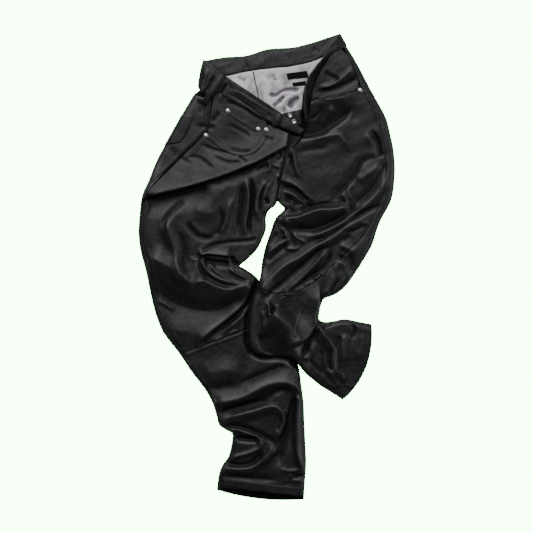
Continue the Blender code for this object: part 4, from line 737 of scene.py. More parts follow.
def fold_crest(points: np.ndarray, fold: Fold) -> tuple[np.ndarray, np.ndarray]:
    """Measure how much of a fold lies at each point.

    Args:
        points: Places on the floor.
        fold: The fold.

    Returns:
        Each point's share of the fold's height, 0 to 1, and the direction to the fold's left.
    """
    path = curve_through(fold.path, np.linspace(0, len(fold.path) - 1, PATH_POINTS * len(fold.path)))
    if not fold.over:
        path = path - (0, LIT_SIDE)
    left_reach, right_reach = SPREAD * fold.left, SPREAD * fold.right
    reach = max(left_reach, right_reach)
    near = ((points > path.min(0) - reach) & (points < path.max(0) + reach)).all(1)
    crest = np.zeros(len(points))
    left = np.zeros((len(points), 2))
    if not near.any():
        return crest, left
    distance, share, direction = measure_from_path(points[near], path)
    reaches = np.where(distance > 0, left_reach, right_reach)
    across = np.clip(np.abs(distance) / reaches, 0, 1)
    rounding = np.minimum(ROUND / reaches, MOST_ROUND)
    rounded = (np.hypot(across, rounding) - rounding) / (np.hypot(1, rounding) - rounding)
    most = MOST_DOME if fold.height > 0 else MOST_DOME / 2
    dome = most * np.clip((reaches - DOME_START) / DOME_RUN, 0, 1)
    fade = np.ones(len(share))
    if fold.fade_in:
        fade *= smooth_step(share / fold.fade_in)
    if fold.fade_out:
        fade *= smooth_step((1 - share) / fold.fade_out)
    crest[near] = ((1 - dome) * (1 - rounded) ** 2 + dome * (1 - smooth_step(across))) * fade
    left[near] = direction
    return crest, left


def fold_height(fold: Fold) -> float:
    """Return how high a fold stands on the garment, which for a narrow one is less than the table says."""
    most = abs(fold.height) if fold.over else STEEPEST * SPREAD * math.sqrt(fold.left * fold.right)
    return math.copysign(min(HEIGHT_GAIN * abs(fold.height), most), fold.height)


def ripples(points: np.ndarray, spacing: float, seed: int, waves: int = 9) -> np.ndarray:
    """Return soft uneven waves between about -1 and 1.

    Args:
        points: Places on the floor.
        spacing: Length of a wave, mm.
        seed: Seed of the waves' directions.
        waves: How many are added.

    Returns:
        One value for each point.
    """
    rng = np.random.default_rng(seed)
    total = np.zeros(len(points))
    warp = 0.35 * spacing * np.sin(points[:, ::-1] / (0.9 * spacing) + rng.uniform(0, 6, 2))
    moved = points + warp
    for _ in range(waves):
        angle, phase = rng.uniform(0, math.tau, 2)
        length = spacing * rng.uniform(0.6, 1.6)
        total += np.sin(moved @ np.array([math.cos(angle), math.sin(angle)]) * math.tau / length + phase)
    return total / (0.75 * waves ** 0.5 * 1.5)


def turn_profile(distance: np.ndarray) -> np.ndarray:
    """Return 0 at the outline and 1 a turn radius inside it, along a quarter of an ellipse."""
    return np.sqrt(1 - (1 - np.clip(distance / TURN_RADIUS, 0, 1)) ** 2)


def crossing_lift(points: np.ndarray) -> np.ndarray:
    """Return how far the left leg's underside is above the floor."""
    distance, _, _ = measure_from_path(points, np.array(CROSSED_EDGE, float))
    return CROSSING_LIFT * smooth_step((CROSSING_RAMP - distance) / CROSSING_RAMP)


def on_floor(points: np.ndarray) -> np.ndarray:
    """Return the height of the floor."""
    return np.zeros(len(points))


@dataclass(frozen=True)
class Relief:
    """The height of a leg's top: its loft with folds and creases, turned down at the outline."""

    folds: Sequence[Fold]
    under: Callable[[np.ndarray], np.ndarray]
    pressed: bool
    seed: int
    ripple: float = 0.6
    ripple_spacing: float = 60.0
    pucker: float = 0.12
    pucker_spacing: float = 19.0

    def loft(self, points: np.ndarray) -> np.ndarray:
        """Work out the height of the top away from its outline.

        Args:
            points: Places on the floor.

        Returns:
            One height for each point, mm.
        """
        height = np.full(len(points), LOFT)
        for fold in self.folds:
            height += fold_height(fold) * fold_crest(points, fold)[0]
        height += self.ripple * ripples(points, self.ripple_spacing, self.seed)
        height += self.pucker * ripples(points, self.pucker_spacing, self.seed + 1)
        height = soft_floor(height, LOWEST_FRONT)
        if self.pressed:
            gap, _, _ = measure_from_path(points, np.array(CROSSING_EDGE, float))
            share = smooth_step((gap + PRESSED_MARGIN) / PRESSED_MARGIN)
            height = height + (np.minimum(height, CROSSING_CEILING) - height) * share
        return height

    def height(self, points: np.ndarray, distance: np.ndarray) -> np.ndarray:
        """Return the height of the top at points that lie distance inside its outline."""
        loft = self.loft(points)
        return self.under(points) + EDGE_LIFT + (loft - EDGE_LIFT) * turn_profile(distance)

    def lean(self, points: np.ndarray) -> np.ndarray:
        """Work out how far the lips of folds push points over what lies before them.

        Args:
            points: Places on the floor.

        Returns:
            One shift along the floor for each point, mm.
        """
        shift = np.zeros((len(points), 2))
        for fold in self.folds:
            if fold.over:
                crest, left = fold_crest(points, fold)
                side = 1 if fold.left < fold.right else -1
                shift += side * fold.over * crest[:, None] * left
        return shift


RIGHT_RELIEF = Relief(RIGHT_LEG_FOLDS, on_floor, True, 11)
LEFT_RELIEF = Relief(LEFT_LEG_FOLDS, crossing_lift, False, 23)


def grid_normals(grid: Grid) -> Grid:
    """Return the unit normals of a grid of points."""
    normals = np.cross(np.gradient(grid, axis=0), np.gradient(grid, axis=1))
    return normals / np.maximum(np.linalg.norm(normals, axis=2, keepdims=True), 1e-9)


def with_heights(flat: Grid, height: Grid) -> Grid:
    """Return a grid of places on the floor with its heights added."""
    return np.concatenate([flat, height[:, :, None]], axis=2)


def add_object(name: str, points: np.ndarray, faces: Sequence, finish: bpy.types.Material
               ) -> bpy.types.Object:
    """Add a smooth mesh object.

    Args:
        name: Its name.
        points: Its points, mm.
        faces: Its faces, as indexes of points.
        finish: Its material.

    Returns:
        The object.
    """
    mesh = bpy.data.meshes.new(name)
    mesh.from_pydata((points * MM).tolist(), [], faces)
    mesh.validate()
    mesh.shade_smooth()
    mesh.materials.append(finish)
    made = bpy.data.objects.new(name, mesh)
    bpy.context.scene.collection.objects.link(made)
    return made


def painted_light_mask_of(grid: Grid) -> np.ndarray:
    """Measure how much each point of a grid stands out from its surroundings, as the mask of painted sheen on
    crests and painted shade in hollows.

    Args:
        grid: The points.

    Returns:
        One value for each point: above 0 on a crest, below 0 in a hollow.
    """
    total = np.zeros(grid.shape[:2])
    for reach, depth in PAINTED_LIGHT_SCALES:
        reach = min(reach, *(size // 2 - 1 for size in grid.shape[:2]))
        weights = np.hanning(2 * reach + 3)[1:-1]
        weights /= weights.sum()
        height = np.pad(grid[:, :, 2], reach, "edge")
        height = np.apply_along_axis(np.convolve, 0, height, weights, "valid")
        height = np.apply_along_axis(np.convolve, 1, height, weights, "valid")
        total += (grid[:, :, 2] - height) / depth
    return np.clip(total, -1, 1)


def add_shell(name: str, outer: Grid, inner: Grid, finish: bpy.types.Material,
              inside: Optional[bpy.types.Material] = None) -> bpy.types.Object:
    """Add the closed wall between two grids of points, with a rounded rim.

    Args:
        name: The piece's name.
        outer: The grid of its outer side, mm.
        inner: The grid of its inner side.
        finish: Its material.
        inside: The material of its inner side, if that is another.

    Returns:
        The piece.
    """
    rows, columns = outer.shape[:2]
    count = rows * columns
    index = np.arange(count).reshape(rows, columns)
    rim = np.concatenate([index[0], index[1:, -1], index[-1, -2::-1], index[-2:0:-1, 0]])
    flat_outer, flat_inner = outer.reshape(-1, 3), inner.reshape(-1, 3)
    ring_outer, ring_inner = flat_outer[rim], flat_inner[rim]
    thickness = ring_outer - ring_inner
    along = np.roll(ring_outer, -1, 0) - np.roll(ring_outer, 1, 0)
    outwards = np.cross(thickness, along)
    outwards /= np.maximum(np.linalg.norm(outwards, axis=1, keepdims=True), 1e-9)
    bulge = RIM_BULGE * np.linalg.norm(thickness, axis=1, keepdims=True) * outwards
    points = np.concatenate([flat_outer, flat_inner, (ring_outer + ring_inner) / 2 + bulge])
    a, b, c, d = index[:-1, :-1], index[:-1, 1:], index[1:, 1:], index[1:, :-1]
    top = np.stack([a, d, c, b], -1).reshape(-1, 4)
    bottom = np.stack([a, b, c, d], -1).reshape(-1, 4) + count
    ring = 2 * count + np.arange(len(rim))
    after, ring_after = np.roll(rim, -1), np.roll(ring, -1)
    upper = np.stack([rim, after, ring_after, ring], -1)
    lower = np.stack([ring, ring_after, after + count, rim + count], -1)
    made = add_object(name, points, np.concatenate([top, bottom, upper, lower]).tolist(), finish)
    # painted light: the crest and hollow mask, for painted sheen on crests and painted shade in hollows
    if min(rows, columns) > LEAST_PAINTED_LIGHT:
        values = np.zeros(len(made.data.vertices), np.float32)
        values[:count] = painted_light_mask_of(outer).reshape(-1)
        made.data.attributes.new("PaintedLight", "FLOAT", "POINT").data.foreach_set("value", values)
    if inside is not None:
        made.data.materials.append(inside)
        numbers = np.zeros(len(made.data.polygons), np.int32)
        numbers[len(top):len(top) + len(bottom)] = 1
        made.data.polygons.foreach_set("material_index", numbers)
    return made


def add_wall(name: str, grid: Grid, thickness: float, finish: bpy.types.Material) -> bpy.types.Object:
    """Add the wall of an even thickness under an outer grid."""
    return add_shell(name, grid, grid - thickness * grid_normals(grid), finish)


def place_piece(made: bpy.types.Object, slot: str, *nodes: str) -> bpy.types.Object:
    """Set a piece on the root body.

    Args:
        made: The piece.
        slot: Its material slot; it is not used.
        nodes: The CAD nodes that it stands for.

    Returns:
        The piece.
    """
    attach(made, "root")
    if nodes:
        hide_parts(*nodes)
    LOG.info("%s: %d faces", made.name, len(made.data.polygons))
    return made


class Ground:
    """Finished pieces that others lie on."""

    def __init__(self) -> None:
        """Start with nothing."""
        self.trees: dict[str, BVHTree] = {}

    def add(self, made: bpy.types.Object) -> None:
        """Add a finished piece.

        Args:
            made: The piece.
        """
        points = [vertex.co for vertex in made.data.vertices]
        faces = [tuple(face.vertices) for face in made.data.polygons]
        self.trees[made.name] = BVHTree.FromPolygons(points, faces)

    def height(self, place: Sequence[float], only: Optional[Sequence[str]] = None) -> float:
        """Look down on the pieces.

        Args:
            place: A place on the floor.
            only: The names of the pieces to look at, if not all of them.

        Returns:
            Their greatest height there, mm, or 0.
        """
        highest = 0.0
        for name in only or self.trees:
            hit = self.trees[name].ray_cast(Vector((MM * place[0], MM * place[1], 1)), Vector((0, 0, -1)))
            if hit[0] is not None:
                highest = max(highest, hit[0].z / MM)
        return highest

    def heights(self, flat: Grid, only: Sequence[str]) -> Grid:
        """Return the greatest heights of some pieces at a grid of places on the floor."""
        return np.array([[self.height(place, only) for place in line] for line in flat])


def even_params(stations: Sequence[Station], cell: float) -> np.ndarray:
    """Divide a table of stations evenly.

    Args:
        stations: The table.
        cell: How far apart the rows are at most, about, mm.

    Returns:
        The rows' places in the table, as params.
    """
    params = []
    for number, (above, below) in enumerate(zip(stations[:-1], stations[1:])):
        ends = [(getattr(above, edge), getattr(below, edge)) for edge in ("outline", "inner", "front_inner")]
        steps = [math.dist(*pair) for pair in ends if None not in pair]
        count = max(1, round(max(steps) / cell))
        params += [number + step / count for step in range(count)]
    return np.array(params + [len(stations) - 1.0])


@dataclass
class Leg:
    """A leg's panels, with the shapes of their solids on a finer grid."""

    seat: Sequence[Station]
    top: Sequence[Station]
    tube: Sequence[Station]
    relief: Relief
    seam_on_left: bool
    cell: float = 2.6
    columns: int = 132
    edge_columns: int = 9
    wrap_columns: int = 14
    turn_columns: int = 7
    floor_columns: int = 24
    seam_places: tuple[float, ...] = (4.2, 2.6, 1.3)

    def rows(self, stations: Sequence[Station], params: np.ndarray, edge: str) -> tuple:
        """Read the rows of a panel from its table.

        Args:
            stations: The table.
            params: The rows' places in it.
            edge: inner for a back panel, front_inner for a front one.

        Returns:
            Outline, seam and inner edge points, sag and turn at each row.
        """
        outline = curve_through([row.outline for row in stations], params)
        seam = curve_through([row.seam for row in stations], params)
        inner = curve_through([getattr(row, edge) for row in stations], params)
        sags = [row.sag if edge == "front_inner" else row.back_sag for row in stations]
        sag = curve_through(sags, params)[:, 0]
        turn = np.clip(curve_through([row.turn for row in stations], params)[:, 0], 0, 1)
        inwards = inner - outline
        inwards /= np.hypot(inwards[:, 0], inwards[:, 1])[:, None]
        wrap = np.hypot(*(seam - outline).T)[:, None]
        seam = np.where(wrap < LEAST_WRAP, outline + LEAST_WRAP * inwards, seam)
        return outline, seam, inner, sag, turn

    def front_grid(self, stations: Sequence[Station], params: np.ndarray) -> Grid:
        """Lay out a front panel.

        Args:
            stations: Its table.
            params: Its rows' places in it.

        Returns:
            Its outer grid.
        """
        outline, seam, inner, sag, turn = self.rows(stations, params, "front_inner")
        edge = TURN_RADIUS * (1 - np.cos(np.linspace(0, math.pi / 2, self.edge_columns)))
        places, flats, insets = [], [], []
        for row in range(len(params)):
            run = seam[row] - inner[row]
            length = math.hypot(*run)
            along = run / length
            squeeze = min(1, length / (NARROW * TURN_RADIUS))
            last = length - SEAM_GAP - squeeze * np.array(self.seam_places)
            free = np.linspace(squeeze * edge[-1], last[0], self.columns)
            place = np.concatenate([squeeze * edge[:-1], free, last[1:], [length - SEAM_GAP]])
            bow = np.array([-along[1], along[0]]) if self.seam_on_left else np.array([along[1], -along[0]])
            sagged = sag[row] * bow_of(place / length)[:, None] * bow
            flats.append(inner[row] + place[:, None] * along + sagged)
            inset = math.dist(outline[row], seam[row])
            insets.append(np.minimum(length - place + inset, place + TURN_RADIUS * (1 - turn[row])))
            places.append(length - place)
        flats, insets, places = np.array(flats), np.array(insets), np.array(places)
        flat = flats.reshape(-1, 2)
        height = self.relief.height(flat, insets.reshape(-1)).reshape(insets.shape)
        height -= SEAM_DIP * np.exp(-(places / SEAM_DIP_REACH) ** 2)
        inside = (smooth_step((insets - LEAN_START) / LEAN_RUN) * smooth_step(places / LEAN_SEAM))[:, :, None]
        grid = with_heights(flats + inside * self.relief.lean(flat).reshape(flats.shape), height)
        return grid[:, ::-1] if self.seam_on_left else grid

    def back_grid(self) -> Grid:
        """Lay out the back panel: under the leg, round its outline and up to the side seam.

        Returns:
            Its outer grid.
        """
        stations = [*self.seat, *self.tube]
        params = even_params(stations, 2 * self.cell)
        outline, seam, inner, sag, turn = self.rows(stations, params, "inner")
        angles = np.linspace(0, math.pi / 2, self.turn_columns)[1:]
        curl = BACK_TURN * (1 - np.cos(angles))
        rise = EDGE_LIFT * (1 - np.sin(angles))
        rows = []
        for row in range(len(params)):
            wrap = math.dist(seam[row], outline[row])
            share = np.linspace(1 - SEAM_GAP / wrap, 0, self.wrap_columns) ** 2
            share[0] = 1 - SEAM_GAP / wrap
            top = outline[row] + share[:, None] * (seam[row] - outline[row])
            top_height = self.relief.height(top, share * wrap)
            top_height -= SEAM_DIP * np.exp(-((1 - share) * wrap / SEAM_DIP_REACH) ** 2)
            run = inner[row] - outline[row]
            length = math.hypot(*run)
            along = run / length
            flat_place = np.linspace(BACK_TURN, length - BACK_TURN, self.floor_columns)[1:]
            place = np.concatenate([curl, flat_place, (length - curl[::-1])[1:], [length]])
            lift = np.concatenate([rise, np.zeros(len(flat_place)), (rise[::-1] * turn[row])[1:],
                                   [(EDGE_LIFT - SEAM_GAP) * turn[row]]])
            bow = np.array([along[1], -along[0]]) if self.seam_on_left else np.array([-along[1], along[0]])
            sagged = sag[row] * bow_of(place / length)[:, None] * bow
            under = outline[row] + place[:, None] * along + sagged
            rows.append(np.concatenate([np.column_stack([top, top_height]),
                                        np.column_stack([under, self.relief.under(under) + lift])]))
        grid = np.array(rows)
        return grid[:, ::-1] if self.seam_on_left else grid

    def wall(self, name: str, grid: Grid, cloths: "Cloths", front: bool) -> bpy.types.Object:
        """Add a panel's wall under its outer grid.

        Args:
            name: The panel's name.
            grid: Its outer grid.
            cloths: The finishes.
            front: Whether it lies over a back panel, so that its wall stays above that.

        Returns:
            The panel.
        """
        inner = grid - WALL * grid_normals(grid)
        if front:
            lowest = self.relief.under(inner[:, :, :2].reshape(-1, 2)).reshape(inner.shape[:2]) + EDGE_LIFT
            inner[:, :, 2] = np.maximum(inner[:, :, 2], lowest)
        return add_shell(name, grid, inner, cloths.leather, cloths.flesh)

    def split(self, grid: Grid, row: int) -> tuple[Grid, Grid]:
        """Part a front panel's grid at its knee seam.

        Args:
            grid: The grid.
            row: The number of its row at the seam.

        Returns:
            The grids above and below the seam.
        """
        step = grid[row + 1] - grid[row - 1]
        shift = SEAM_GAP * step / np.linalg.norm(step, axis=1, keepdims=True)
        upper, lower = grid[:row + 1].copy(), grid[row:].copy()
        upper[-1] -= shift
        lower[0] += shift
        upper[-1, :, 2] -= SEAM_DIP
        lower[0, :, 2] -= SEAM_DIP
        return upper, lower


def strip_grid(strips: Sequence[Strip], cell: float, columns: int, bow: Optional[Sequence[float]] = None,
               height_at: Optional[Callable] = None, crown: float = 0.0) -> Grid:
    """Return the outer grid of a piece that a table of strips gives.

    Args:
        strips: The rows of the piece.
        cell: Spacing of its grid along it, mm.
        columns: How many cells the grid has across it.
        bow: How far each row's middle bows sideways, mm.
        height_at: Gives the heights from places on the floor, where the rows don't.
        crown: How much higher the middle is than the edges, mm.

    Returns:
        The grid of points.
    """
    starts = [(*row.start, row.start_height) for row in strips]
    ends = [(*row.end, row.end_height) for row in strips]
    params: list[float] = []
    for number in range(len(strips) - 1):
        step = max(math.dist(side[number], side[number + 1]) for side in (starts, ends))
        count = max(1, round(step / cell))
        params += [number + part / count for part in range(count)]
    params.append(len(strips) - 1.0)
    start = curve_through(starts, params)
    end = curve_through(ends, params)
    bows = curve_through(bow, params)[:, 0] if bow else np.zeros(len(params))
    share = np.linspace(0, 1, columns + 1)
    grid = start[:, None] + share[None, :, None] * (end - start)[:, None]
    run = (end - start)[:, :2]
    run /= np.hypot(run[:, 0], run[:, 1])[:, None]
    side = np.column_stack([run[:, 1], -run[:, 0]])
    grid[:, :, :2] += (bows[:, None] * bow_of(share))[:, :, None] * side[:, None]
    if height_at is not None:
        grid[:, :, 2] = height_at(grid[:, :, :2].reshape(-1, 2)).reshape(grid.shape[:2])
    rounded = 1 - np.abs(2 * share - 1) ** 3
    return grid + crown * rounded[None, :, None] * grid_normals(grid)


def facing_height(relief: Relief, points: np.ndarray) -> np.ndarray:
    """Return the height of a pocket facing, which lies just under the top of the leg."""
    return relief.height(points, np.full(len(points), TURN_RADIUS)) - FACING_DROP


def lining_height(points: np.ndarray) -> np.ndarray:
    """Work out the height of the lining with its wrinkles.

    Args:
        points: Places on the floor.

    Returns:
        One height for each point, mm.
    """
    height = np.full(len(points), LINING_REST)
    for fold in SATIN_FOLDS:
        height += SATIN_GAIN * fold.height * fold_crest(points, fold)[0]
    for wave, spacing, seed in LINING_WAVES:
        height += wave * ripples(points, spacing, seed)
    edge = curve_through([row.start for row in BANDS["back"]], np.linspace(0, len(BANDS["back"]) - 1, 40))
    below = -measure_from_path(points, edge)[0]
    height = soft_floor(height, LINING_LOWEST)
    return height + (LINING_UNDER_BAND - height) * smooth_step((LINING_TUCK - below) / LINING_TUCK)


def stand_height(points: np.ndarray) -> np.ndarray:
    """Return the height of the button stand, which lies on the lining."""
    return lining_height(points) + 2 * SEAM_GAP + WALL


class Glow(Enum):
    """How a finish shines."""

    NAPPA = "nappa"
    SATIN = "satin"
    METAL = "metal"


def node_group(name: str, kind: str, inputs: dict[str, Optional[float]], outputs: Sequence[str]
               ) -> bpy.types.NodeTree:
    """Start a node group with named sockets.

    Args:
        name: The group's name.
        kind: The kind of its tree.
        inputs: Each input's name, and its first value if it is a number.
        outputs: Each output's name.

    Returns:
        The group, with no nodes yet.
    """
    kinds = {"Geometry": "NodeSocketGeometry", "Material": "NodeSocketMaterial"}
    group = bpy.data.node_groups.new(name, kind)
    sockets = [(label, "INPUT", value) for label, value in inputs.items()]
    for label, way, value in [*sockets, *((label, "OUTPUT", None) for label in outputs)]:
        socket = kinds.get(label, "NodeSocketFloat")
        made = group.interface.new_socket(name=label, in_out=way, socket_type=socket)
        if value is not None:
            made.default_value = value
    return group


def add_node(tree: bpy.types.NodeTree, kind: str, inputs: Optional[dict] = None, **options: object
             ) -> bpy.types.NodeOutputs:
    """Add a node to a tree.

    Args:
        tree: The tree.
        kind: The node's kind.
        inputs: A value, or the socket to link from, for each input, by name or number.
        options: The node's own options.

    Returns:
        Its outputs.
    """
    made = tree.nodes.new(kind)
    for label, value in options.items():
        setattr(made, label, value)
    for label, value in (inputs or {}).items():
        if isinstance(value, bpy.types.NodeSocket):
            tree.links.new(value, made.inputs[label])
        else:
            made.inputs[label].default_value = value
    return made.outputs


def build_grain_group() -> bpy.types.NodeTree:
    """Build hide grain and fine creases.

    Returns:
        The group, which gives them as a height and as a wear mask.
    """
    sizes = {"Grain Size": 900.0, "Crease Size": 55.0, "Grain Depth": 0.3, "Crease Depth": 1.0}
    group = node_group("hide_grain", "ShaderNodeTree", sizes, ("Height", "Wear"))
    sizes = add_node(group, "NodeGroupInput")
    place = add_node(group, "ShaderNodeTexCoord")["Object"]
    pores = add_node(group, "ShaderNodeTexVoronoi", {"Vector": place, "Scale": sizes["Grain Size"]})
    creases = add_node(group, "ShaderNodeTexNoise", {
        "Vector": place, "Scale": sizes["Crease Size"], "Detail": 5.0, "Roughness": 0.55, "Distortion": 0.6})
    small = add_node(group, "ShaderNodeMath", {0: pores["Distance"], 1: sizes["Grain Depth"]},
                     operation="MULTIPLY")
    large = add_node(group, "ShaderNodeMath", {0: creases["Fac"], 1: sizes["Crease Depth"], 2: small[0]},
                     operation="MULTIPLY_ADD")
    add_node(group, "NodeGroupOutput", {"Height": large[0], "Wear": creases["Fac"]})
    return group


def build_weave_group() -> bpy.types.NodeTree:
    """Build a fine weave with a soft mottle.

    Returns:
        The group, which gives the weave as a height and the mottle as a mask.
    """
    group = node_group("fine_weave", "ShaderNodeTree", {"Thread Size": 1400.0, "Mottle Size": 30.0},
                       ("Height", "Mottle"))
    sizes = add_node(group, "NodeGroupInput")
    place = add_node(group, "ShaderNodeTexCoord")["Object"]
    warp, weft = (add_node(group, "ShaderNodeTexWave", {"Vector": place, "Scale": sizes["Thread Size"],
                                                        "Distortion": 0.4}, bands_direction=direction)
                  for direction in ("X", "Y"))
    both = add_node(group, "ShaderNodeMath", {0: warp["Fac"], 1: weft["Fac"]}, operation="MULTIPLY")
    mottle = add_node(group, "ShaderNodeTexNoise",
                      {"Vector": place, "Scale": sizes["Mottle Size"], "Detail": 3.0})
    add_node(group, "NodeGroupOutput", {"Height": both[0], "Mottle": mottle["Fac"]})
    return group


def spread_mask(tree: bpy.types.NodeTree, mask: bpy.types.NodeSocket, values: tuple[float, float],
                span: tuple[float, float] = MASK_SPAN) -> bpy.types.NodeSocket:
    """Spread a part of a mask over a range of values.

    Args:
        tree: The material's tree.
        mask: The mask.
        values: The first and last value.
        span: The part of the mask.

    Returns:
        The values.
    """
    return add_node(tree, "ShaderNodeMapRange", {"Value": mask, "From Min": span[0], "From Max": span[1],
                                                 "To Min": values[0], "To Max": values[1]})["Result"]


def add_painted_light(tree: bpy.types.NodeTree, gain: float, mask: bpy.types.NodeSocket) -> bpy.types.NodeSocket:
    """Return a mask with a piece's painted light added to it, higher on crests and lower in hollows, held
    between 0 and 1.
    """
    painted_light_mask = add_node(tree, "ShaderNodeAttribute", attribute_name="PaintedLight")["Fac"]
    total = add_node(tree, "ShaderNodeMath", {0: painted_light_mask, 1: gain, 2: mask}, operation="MULTIPLY_ADD",
                     use_clamp=True)
    return total[0]


@dataclass(frozen=True)
class Finish:
    """A cloth's finish: a Principled shader with a pattern group for its colour, roughness and relief.

    The polish, a coat, is raised on crests as painted sheen and lowered in hollows as painted shade, and fade
    is how much lighter crests and darker hollows are painted.
    """

    name: str
    dark: tuple[float, float, float]
    light: tuple[float, float, float]
    roughness: tuple[float, float]
    bump: float
    glow: Glow
    grain: tuple[tuple[str, float], ...]
    sheen: float = 0.0
    specular: float = 0.5
    metallic: float = 0.0
    polish: float = 0.0
    # fade: how much lighter crests and darker hollows are painted, as painted light and painted shade
    fade: float = 0.0

    def build(self, groups: dict[str, bpy.types.NodeTree]) -> bpy.types.Material:
        """Make the material, with the pattern group that suits its glow.

        Args:
            groups: The pattern groups by name.

        Returns:
            The material.
        """
        made = bpy.data.materials.new(self.name)
        made.use_nodes = True
        tree = made.node_tree
        woven = self.glow is Glow.SATIN
        group = groups["weave" if woven else "grain"]
        pattern = add_node(tree, "ShaderNodeGroup", dict(self.grain), node_tree=group)
        mask = pattern["Mottle" if woven else "Wear"]
        tone = spread_mask(tree, mask, SATIN_TONES if self.fade else (0.0, 1.0))
        # painted light: the colour is painted lighter on crests and darker in hollows
        if self.fade:
            tone = add_painted_light(tree, self.fade, tone)
        colour = add_node(tree, "ShaderNodeMix", {0: tone, 6: (*self.dark, 1), 7: (*self.light, 1)},
                          data_type="RGBA")
        bump = add_node(tree, "ShaderNodeBump",
                        {"Strength": self.bump, "Distance": MM, "Height": pattern["Height"]})
        shader = tree.nodes["Principled BSDF"].inputs
        tree.links.new(colour[2], shader["Base Color"])
        tree.links.new(spread_mask(tree, mask, self.roughness), shader["Roughness"])
        tree.links.new(bump["Normal"], shader["Normal"])
        if self.polish:
            ends = self.polish - POLISH_MOTTLE, self.polish + POLISH_MOTTLE
            mottle = spread_mask(tree, mask, ends, (0.0, 1.0))
            # painted sheen and painted shade: the coat is raised on crests and lowered in hollows
            tree.links.new(add_painted_light(tree, PAINTED_SHEEN_GAIN, mottle), shader["Coat Weight"])
            shader["Coat Roughness"].default_value = self.roughness[0]
        shader["Metallic"].default_value = self.metallic
        shader["Specular IOR Level"].default_value = self.specular
        shader["Sheen Weight"].default_value = self.sheen
        return made


# The leather's coat carries painted sheen on its crests and painted shade in its hollows.
LEATHER = Finish("black_nappa", (0.006, 0.006, 0.0075), (0.011, 0.011, 0.013), (0.43, 0.51), 0.6, Glow.NAPPA,
                 (("Grain Size", 900.0), ("Crease Size", 150.0), ("Grain Depth", 0.2), ("Crease Depth", 0.8)),
                 specular=0.2, polish=0.52)
THREAD = Finish("black_thread", (0.012, 0.012, 0.013), (0.03, 0.03, 0.032), (0.45, 0.6), 0.3, Glow.NAPPA,
                (("Grain Size", 2500.0), ("Crease Size", 400.0)))
# The satin's colour is painted lighter on its crests and darker in its hollows, by fade.
SATIN = Finish("lilac_satin", (0.13, 0.115, 0.14), (0.88, 0.82, 0.87), (0.26, 0.36), 0.25, Glow.SATIN,
               (("Thread Size", 1400.0), ("Mottle Size", 34.0)), sheen=0.2, specular=0.8, fade=1.1)
LABEL_CLOTH = Finish("label_cloth", (0.005, 0.005, 0.005), (0.01, 0.01, 0.01), (0.7, 0.85), 0.4, Glow.SATIN,
                     (("Thread Size", 1800.0), ("Mottle Size", 90.0)), specular=0.15)
FLESH = Finish("flesh_side", (0.004, 0.004, 0.0045), (0.008, 0.008, 0.009), (0.8, 0.95), 0.4, Glow.NAPPA,
               (("Grain Size", 1200.0), ("Crease Size", 90.0)), specular=0.2)
STEEL = Finish("polished_steel", (0.62, 0.62, 0.63), (0.78, 0.78, 0.79), (0.16, 0.28), 0.15, Glow.METAL,
               (("Grain Size", 3000.0), ("Crease Size", 500.0), ("Grain Depth", 0.2), ("Crease Depth", 0.3)),
               metallic=1.0)


@dataclass
class Cloths:
    """The finishes, made once."""

    leather: bpy.types.Material
    thread: bpy.types.Material
    satin: bpy.types.Material
    label: bpy.types.Material
    steel: bpy.types.Material
    flesh: bpy.types.Material


def build_cloths() -> Cloths:
    """Return the finishes."""
    groups = {"grain": build_grain_group(), "weave": build_weave_group()}
    return Cloths(*(finish.build(groups) for finish in (LEATHER, THREAD, SATIN, LABEL_CLOTH, STEEL, FLESH)))


def build_stitch_tree() -> bpy.types.NodeTree:
    """Build the geometry tree that sews stitches along the edges of a mesh.

    Returns:
        The tree, with the stitches' pitch, length, thread and material as inputs.
    """
    tree = node_group("sewn_row", "GeometryNodeTree", {"Geometry": None, "Pitch": 0.0036, "Length": 0.0027,
                                                       "Thread": 0.0007, "Material": None}, ("Geometry",))
    given = add_node(tree, "NodeGroupInput")
    curve = add_node(tree, "GeometryNodeMeshToCurve", {"Mesh": given["Geometry"]})
    even = add_node(tree, "GeometryNodeResampleCurve", {"Curve": curve["Curve"], "Length": given["Pitch"]},
                    mode="LENGTH")
    bead = add_node(tree, "GeometryNodeMeshUVSphere", {"Segments": 6, "Rings": 5, "Radius": 0.5})
    tangent = add_node(tree, "GeometryNodeInputTangent")
    aim = add_node(tree, "FunctionNodeAlignRotationToVector", {"Vector": tangent["Tangent"]}, axis="Z")
    size = add_node(tree, "ShaderNodeCombineXYZ",
                    {"X": given["Thread"], "Y": given["Thread"], "Z": given["Length"]})
    sewn = add_node(tree, "GeometryNodeInstanceOnPoints", {
        "Points": even["Curve"], "Instance": bead["Mesh"], "Rotation": aim["Rotation"],
        "Scale": size["Vector"]})
    whole = add_node(tree, "GeometryNodeRealizeInstances", {"Geometry": sewn["Instances"]})
    paint = add_node(tree, "GeometryNodeSetMaterial",
                     {"Geometry": whole["Geometry"], "Material": given["Material"]})
    add_node(tree, "NodeGroupOutput", {"Geometry": paint["Geometry"]})
    return tree


